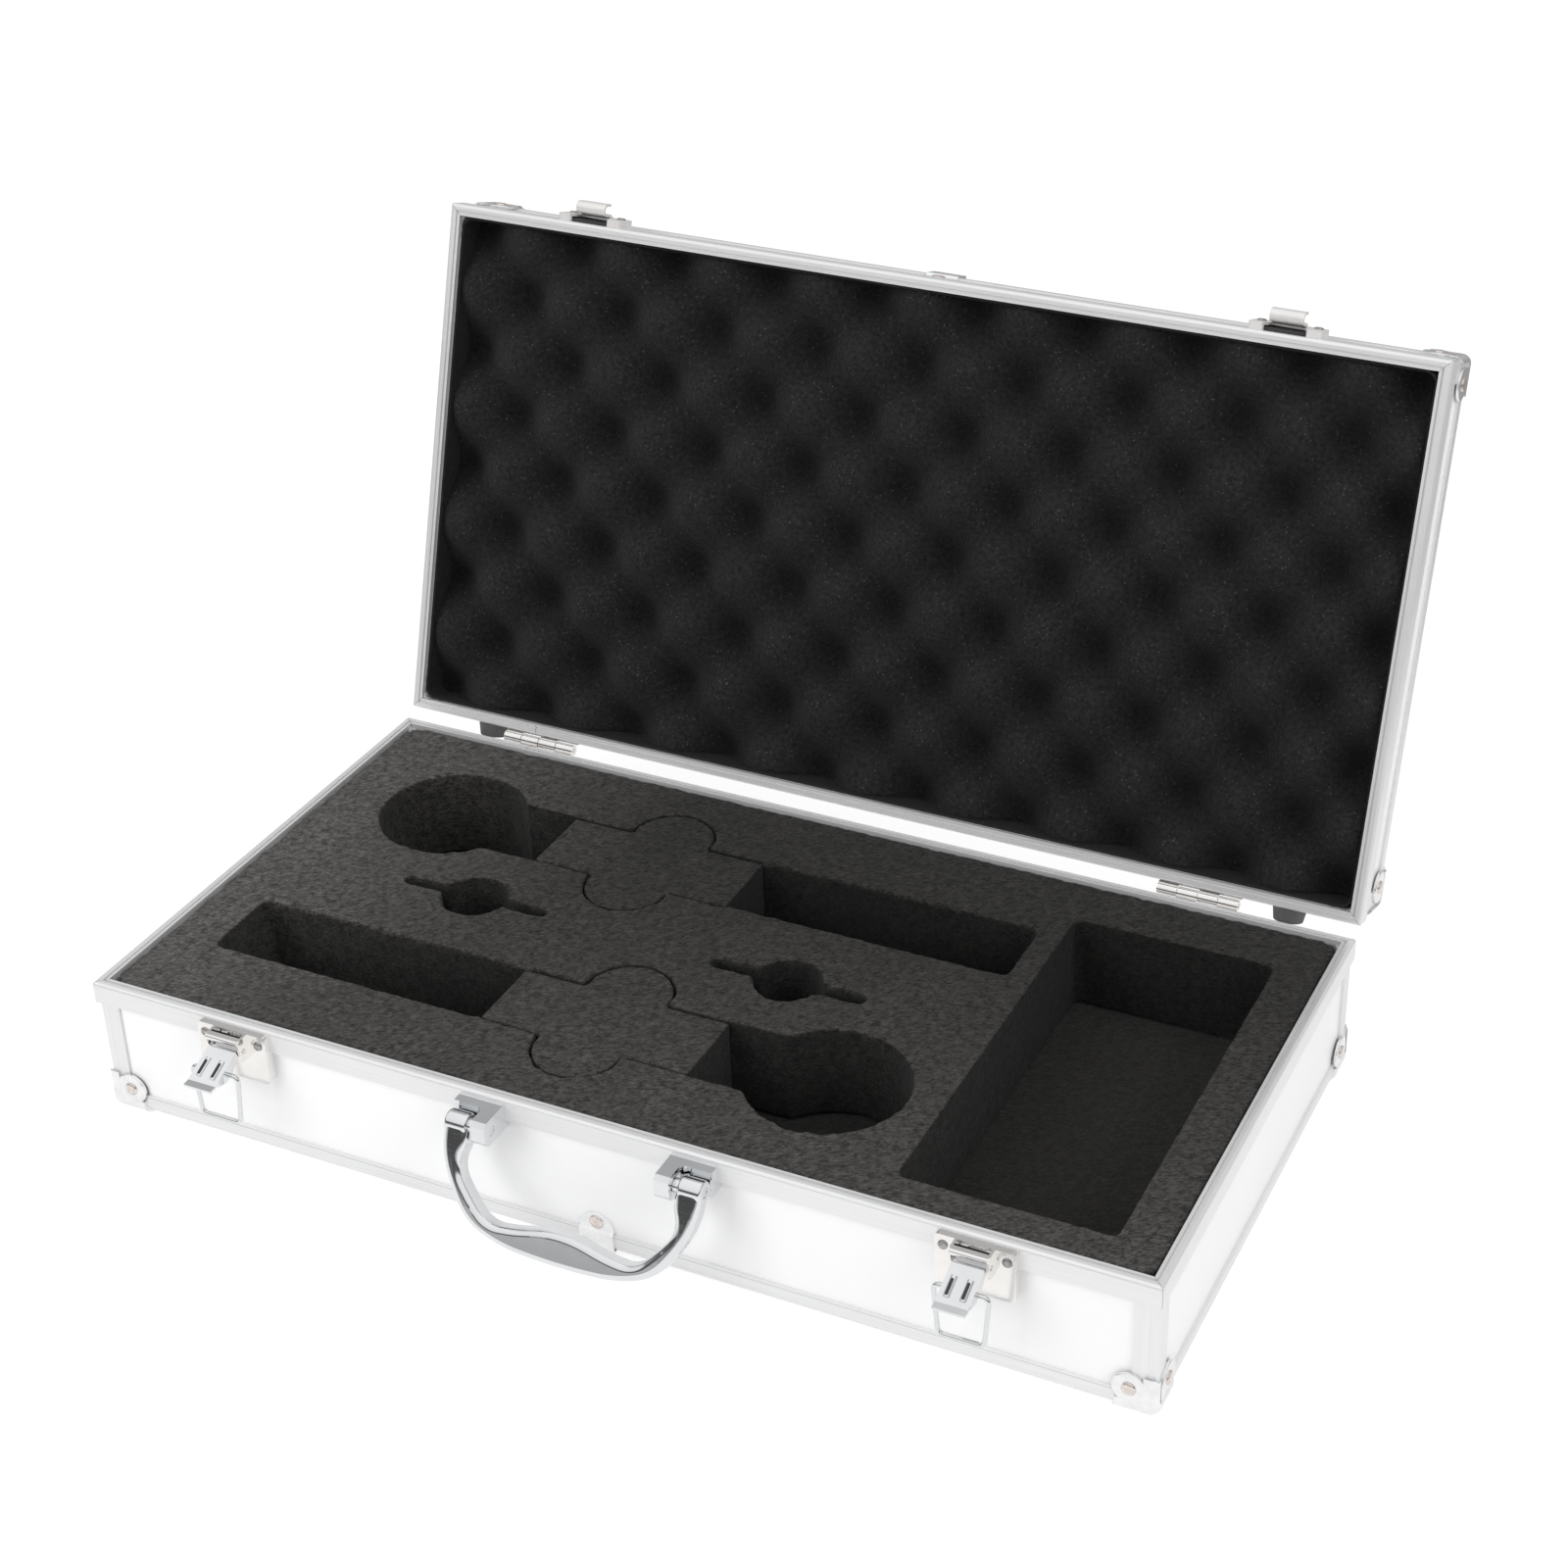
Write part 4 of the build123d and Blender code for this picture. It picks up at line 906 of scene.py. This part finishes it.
def cap_lobe_places():
    """Where the lobes of the four corner caps lie on the upright faces, in the tray's frame."""
    lift, up = LOBE_LIFT, Vector((0, 0, 1))
    for sx, sy in CORNERS:
        x, y = sx * (BODY_X - LOBE_CENTRE), sy * (BODY_Y - LOBE_CENTRE)
        on_front = (Vector((-sx, 0, 0)), Vector((0, sy, 0)), Vector((x, sy * (BODY_Y + lift), LOBE_CENTRE)))
        on_end = (Vector((0, -sy, 0)), Vector((sx, 0, 0)), Vector((sx * (BODY_X + lift), y, LOBE_CENTRE)))
        for inward, outward, centre in (on_front, on_end):
            yield Matrix.Translation(centre) @ Matrix((inward, up, outward)).transposed().to_4x4()


class MICCASE_OT_fixings(bpy.types.Operator):
    """Put on the caps' lobes, the foot screws, and dark sheets painted as shade on the lever ribs and behind the
    latches and catches
    """

    bl_idname = "miccase.fixings"
    bl_label = "Fixings"

    def execute(self, context):
        sizes = context.scene.miccase_fixings
        for body, tray in (("base", BASE_TRAY), ("lid", LID_TRAY)):
            low, high = tray_box(f"{body}_feet", tray)
            foot_radius = (high.z - low.z) / 2
            bm = bmesh.new()
            for x in (low.x + foot_radius, high.x - foot_radius):
                point = (x, high.y - sizes.screw_depth, (low.z + high.z) / 2)
                outline = screw_outline(sizes.screw_radius, sizes.screw_height)
                lathe(bm, outline, 20, tray @ place_on(point, (0, 1, 0)))
            screws = keep(bm, f"{body}_foot_screws", "Drawn Wire")
            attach(screws, body)

            # painted shade: a dark sheet behind each latch plate and catch, where the hollow under it is shaded
            bm = bmesh.new()
            for side in ("left", "right"):
                node = f"{side}_latch_plate" if body == "base" else f"{side}_lid_catch"
                low, high = tray_box(node, tray)
                middle = ((low.x + high.x) / 2, -HALF_DEPTH - sizes.shade_sheet_gap, (low.z + high.z) / 2)
                half_width = (high.x - low.x) / 2 - sizes.shade_sheet_inset
                half_height = (high.z - low.z) / 2 - sizes.shade_sheet_inset
                place = tray @ place_on(middle, (0, -1, 0))
                sheet(bm, half_width, half_height, sizes.shade_sheet_thickness, SHADE_SHEET_CORNER, place)
            shade_sheets = keep(bm, f"{body}_plate_shade_sheets", "Moulded Rubber", smooth=False)
            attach(shade_sheets, body)

            bm = bmesh.new()
            for place in cap_lobe_places():
                cap_lobe(bm, sizes.lobe_thickness, sizes.lobe_edge, tray @ place)
            lobes = keep(bm, f"{body}_cap_lobes", "Pressed Cap", smooth=False)
            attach(lobes, body)

        # painted shade: a dark sheet on each lever rib where its slot is shaded
        for side in ("left", "right"):
            hinge = joint(f"{side}_lever_hinge")
            closed = Matrix.Translation(hinge["pos_m"]) @ Matrix.Rotation(radians(-hinge["range_deg"][1]), 4, "X")
            bm = bmesh.new()
            for x in (-LEVER_RIB_X, LEVER_RIB_X):
                place = closed @ place_on((x, -LEVER_RIB_FACE, -LEVER_RIB_MIDDLE), (0, -1, 0))
                sheet(bm, sizes.slot_width / 2, sizes.slot_length / 2, SLOT_FILL, SLOT_CORNER, place)
            slot_shade_sheets = keep(bm, f"{side}_lever_slot_shade_sheets", "Moulded Rubber", smooth=False)
            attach(slot_shade_sheets, f"{side}_lever")
        return {"FINISHED"}


# ---- Operator: the stage ----


def pale_floor_finish():
    """A floor that renders white to camera and keeps a soft shadow; in reflections it is white near the case and dims
    to grey farther out, a painted reflection.
    """
    material = bpy.data.materials.new("Pale Floor")
    material.use_nodes = True
    tree = material.node_tree
    tree.nodes.clear()
    new, link = partial(new_node, tree), tree.links.new
    output = new("ShaderNodeOutputMaterial")
    lit = new("ShaderNodeBsdfDiffuse", [("Color", (0.8, 0.8, 0.8, 1.0))])
    pale = new("ShaderNodeBsdfDiffuse", [("Color", (0.36, 0.36, 0.36, 1.0))])
    glow = new("ShaderNodeEmission")
    place = new("ShaderNodeTexCoord")
    reach = new("ShaderNodeVectorMath", operation="LENGTH")
    # painted reflection: mirrors see the floor bright within 0.38 m and dimmer out to 0.66 m
    ends = [("From Min", 0.38), ("From Max", 0.66), ("To Min", 0.14), ("To Max", 0.74)]
    reflection_fade = new("ShaderNodeMapRange", ends)
    drop = new("ShaderNodeMath", operation="MULTIPLY")
    level = new("ShaderNodeMath", [(0, 0.74)], operation="SUBTRACT")
    both = new("ShaderNodeAddShader")
    rays = new("ShaderNodeLightPath")
    seen = new("ShaderNodeMath", operation="MAXIMUM")
    seen_through = new("ShaderNodeMath", operation="MAXIMUM")
    choose = new("ShaderNodeMixShader")
    link(place.outputs["Object"], reach.inputs[0])
    link(reach.outputs["Value"], reflection_fade.inputs["Value"])
    link(rays.outputs["Is Glossy Ray"], drop.inputs[0])
    link(reflection_fade.outputs["Result"], drop.inputs[1])
    link(drop.outputs[0], level.inputs[1])
    link(level.outputs[0], glow.inputs["Strength"])
    link(rays.outputs["Is Camera Ray"], seen.inputs[0])
    link(rays.outputs["Is Glossy Ray"], seen.inputs[1])
    link(seen.outputs[0], seen_through.inputs[0])
    link(rays.outputs["Is Transmission Ray"], seen_through.inputs[1])
    link(pale.outputs[0], both.inputs[0])
    link(glow.outputs[0], both.inputs[1])
    link(seen_through.outputs[0], choose.inputs["Fac"])
    link(lit.outputs[0], choose.inputs[1])
    link(both.outputs[0], choose.inputs[2])
    link(choose.outputs[0], output.inputs["Surface"])
    return material


def grey_ramp(tree, factor, stops):
    """A ramp of greys over a factor, from (position, grey) stops."""
    ramp = new_node(tree, "ShaderNodeValToRGB")
    elements = ramp.color_ramp.elements
    for element, (position, grey) in zip(elements, (stops[0], stops[-1])):
        element.position, element.color = position, (grey, grey, grey, 1.0)
    for position, grey in stops[1:-1]:
        elements.new(position).color = (grey, grey, grey * 1.01, 1.0)
    tree.links.new(factor, ramp.inputs["Fac"])
    return ramp.outputs["Color"]


def studio_world(level):
    """Even light on matt surfaces, plain white to camera, and darker flags for metal to mirror."""
    world = bpy.data.worlds.new("Studio")
    bpy.context.scene.world = world
    world.use_nodes = True
    tree = world.node_tree
    tree.nodes.clear()
    new, link = partial(new_node, tree), tree.links.new
    output = new("ShaderNodeOutputWorld")
    even = new("ShaderNodeBackground", [("Strength", level)])
    white = new("ShaderNodeBackground", [("Color", (1.0, 1.0, 1.0, 1.0))])
    mirrored = new("ShaderNodeBackground")
    direction = new("ShaderNodeTexCoord")
    split = new("ShaderNodeSeparateXYZ")
    raised = new("ShaderNodeMath", [(1, 0.5), (2, 0.5)], operation="MULTIPLY_ADD")
    behind = new("ShaderNodeMapRange", [("From Min", -0.2), ("From Max", 0.35)])
    link(direction.outputs["Generated"], split.inputs[0])
    link(split.outputs["Z"], raised.inputs[0])
    link(split.outputs["Y"], behind.inputs["Value"])
    front = grey_ramp(
        tree, raised.outputs[0], ((0.0, 0.8), (0.47, 0.7), (0.50, 0.07), (0.61, 0.13), (0.68, 0.85), (1.0, 1.0))
    )
    back = grey_ramp(tree, raised.outputs[0], ((0.0, 0.8), (0.5, 0.62), (0.6, 0.45), (0.84, 0.46), (0.92, 1.0)))
    around = new("ShaderNodeMix", data_type="RGBA")
    link(behind.outputs["Result"], around.inputs["Factor"])
    link(front, around.inputs[6])
    link(back, around.inputs[7])
    link(around.outputs[2], mirrored.inputs["Color"])
    rays = new("ShaderNodeLightPath")
    for_metal = new("ShaderNodeMixShader")
    for_camera = new("ShaderNodeMixShader")
    link(rays.outputs["Is Glossy Ray"], for_metal.inputs["Fac"])
    link(even.outputs[0], for_metal.inputs[1])
    link(mirrored.outputs[0], for_metal.inputs[2])
    link(rays.outputs["Is Camera Ray"], for_camera.inputs["Fac"])
    link(for_metal.outputs[0], for_camera.inputs[1])
    link(white.outputs[0], for_camera.inputs[2])
    link(for_camera.outputs[0], output.inputs["Surface"])


def soft_lamp(name, place, power):
    """A square area lamp that faces the middle of the case."""
    data = bpy.data.lights.new(name, "AREA")
    data.shape = "SQUARE"
    data.size = LAMP_SIZE
    data.energy = power
    lamp = bpy.data.objects.new(name, data)
    lamp.location = place
    lamp.rotation_euler = (Vector(LAMP_TARGET) - Vector(place)).to_track_quat("-Z", "Y").to_euler()
    lamp.visible_glossy = False
    bpy.context.scene.collection.objects.link(lamp)


def look_camera():
    """The camera, with its lens and framing."""
    back = Vector((sin(AZIMUTH) * cos(ELEVATION), -cos(AZIMUTH) * cos(ELEVATION), sin(ELEVATION)))
    level = Vector((0, 0, 1)).cross(back).normalized()
    upward = back.cross(level)
    right = cos(ROLL) * level + sin(ROLL) * upward
    up = -sin(ROLL) * level + cos(ROLL) * upward
    data = bpy.data.cameras.new("Camera")
    data.sensor_width = 36.0
    data.lens = LENS
    data.shift_x, data.shift_y = SHIFT
    camera = bpy.data.objects.new("Camera", data)
    camera.matrix_world = Matrix.Translation(CAMERA_PLACE) @ Matrix((right, up, back)).transposed().to_4x4()
    bpy.context.scene.collection.objects.link(camera)
    bpy.context.scene.camera = camera


class MICCASE_OT_stage(bpy.types.Operator):
    """Lay the floor and set the light and the camera"""

    bl_idname = "miccase.stage"
    bl_label = "Stage"

    def execute(self, context):
        settings = context.scene.miccase_stage
        bm = bmesh.new()
        bmesh.ops.create_grid(bm, x_segments=4, y_segments=4, size=settings.floor_size / 2)
        material = pale_floor_finish()
        floor = keep(bm, "floor", material.name, smooth=False)
        studio_world(settings.sky_level)
        soft_lamp("Key", KEY_PLACE, settings.key_power)
        soft_lamp("Fill", FILL_PLACE, settings.fill_power)
        look_camera()
        context.scene.view_settings.view_transform = "Standard"
        return {"FINISHED"}


# ---- Sidebar and running order ----

STEPS = (
    MICCASE_OT_finishes,
    MICCASE_OT_base_foam,
    MICCASE_OT_lid_foam,
    MICCASE_OT_rivets,
    MICCASE_OT_fixings,
    MICCASE_OT_stage,
)

SETTINGS = {
    "miccase_foam": FoamSizes,
    "miccase_rivets": RivetSizes,
    "miccase_fixings": FixingSizes,
    "miccase_colours": FinishColours,
    "miccase_stage": StageSettings,
}


class MICCASE_PT_steps(bpy.types.Panel):
    """Lists the steps that dress the case, in order"""

    bl_label = "Microphone Case"
    bl_space_type = "VIEW_3D"
    bl_region_type = "UI"
    bl_category = "Microphone Case"

    def draw(self, context):
        for step in STEPS:
            self.layout.operator(step.bl_idname)
        for name, group in SETTINGS.items():
            box = self.layout.box()
            for item in group.__annotations__:
                box.prop(getattr(context.scene, name), item)


def register():
    for group in SETTINGS.values():
        bpy.utils.register_class(group)
    for step in STEPS:
        bpy.utils.register_class(step)
    bpy.utils.register_class(MICCASE_PT_steps)
    for name, group in SETTINGS.items():
        setattr(bpy.types.Scene, name, PointerProperty(type=group))


def unregister():
    for name in SETTINGS:
        delattr(bpy.types.Scene, name)
    bpy.utils.unregister_class(MICCASE_PT_steps)
    for step in reversed(STEPS):
        bpy.utils.unregister_class(step)
    for group in reversed(SETTINGS.values()):
        bpy.utils.unregister_class(group)


def main():
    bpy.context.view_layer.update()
    register()
    bpy.ops.miccase.finishes()
    bpy.ops.miccase.base_foam()
    bpy.ops.miccase.lid_foam()
    bpy.ops.miccase.rivets()
    bpy.ops.miccase.fixings()
    bpy.ops.miccase.stage()


if __name__ == "__main__":
    main()
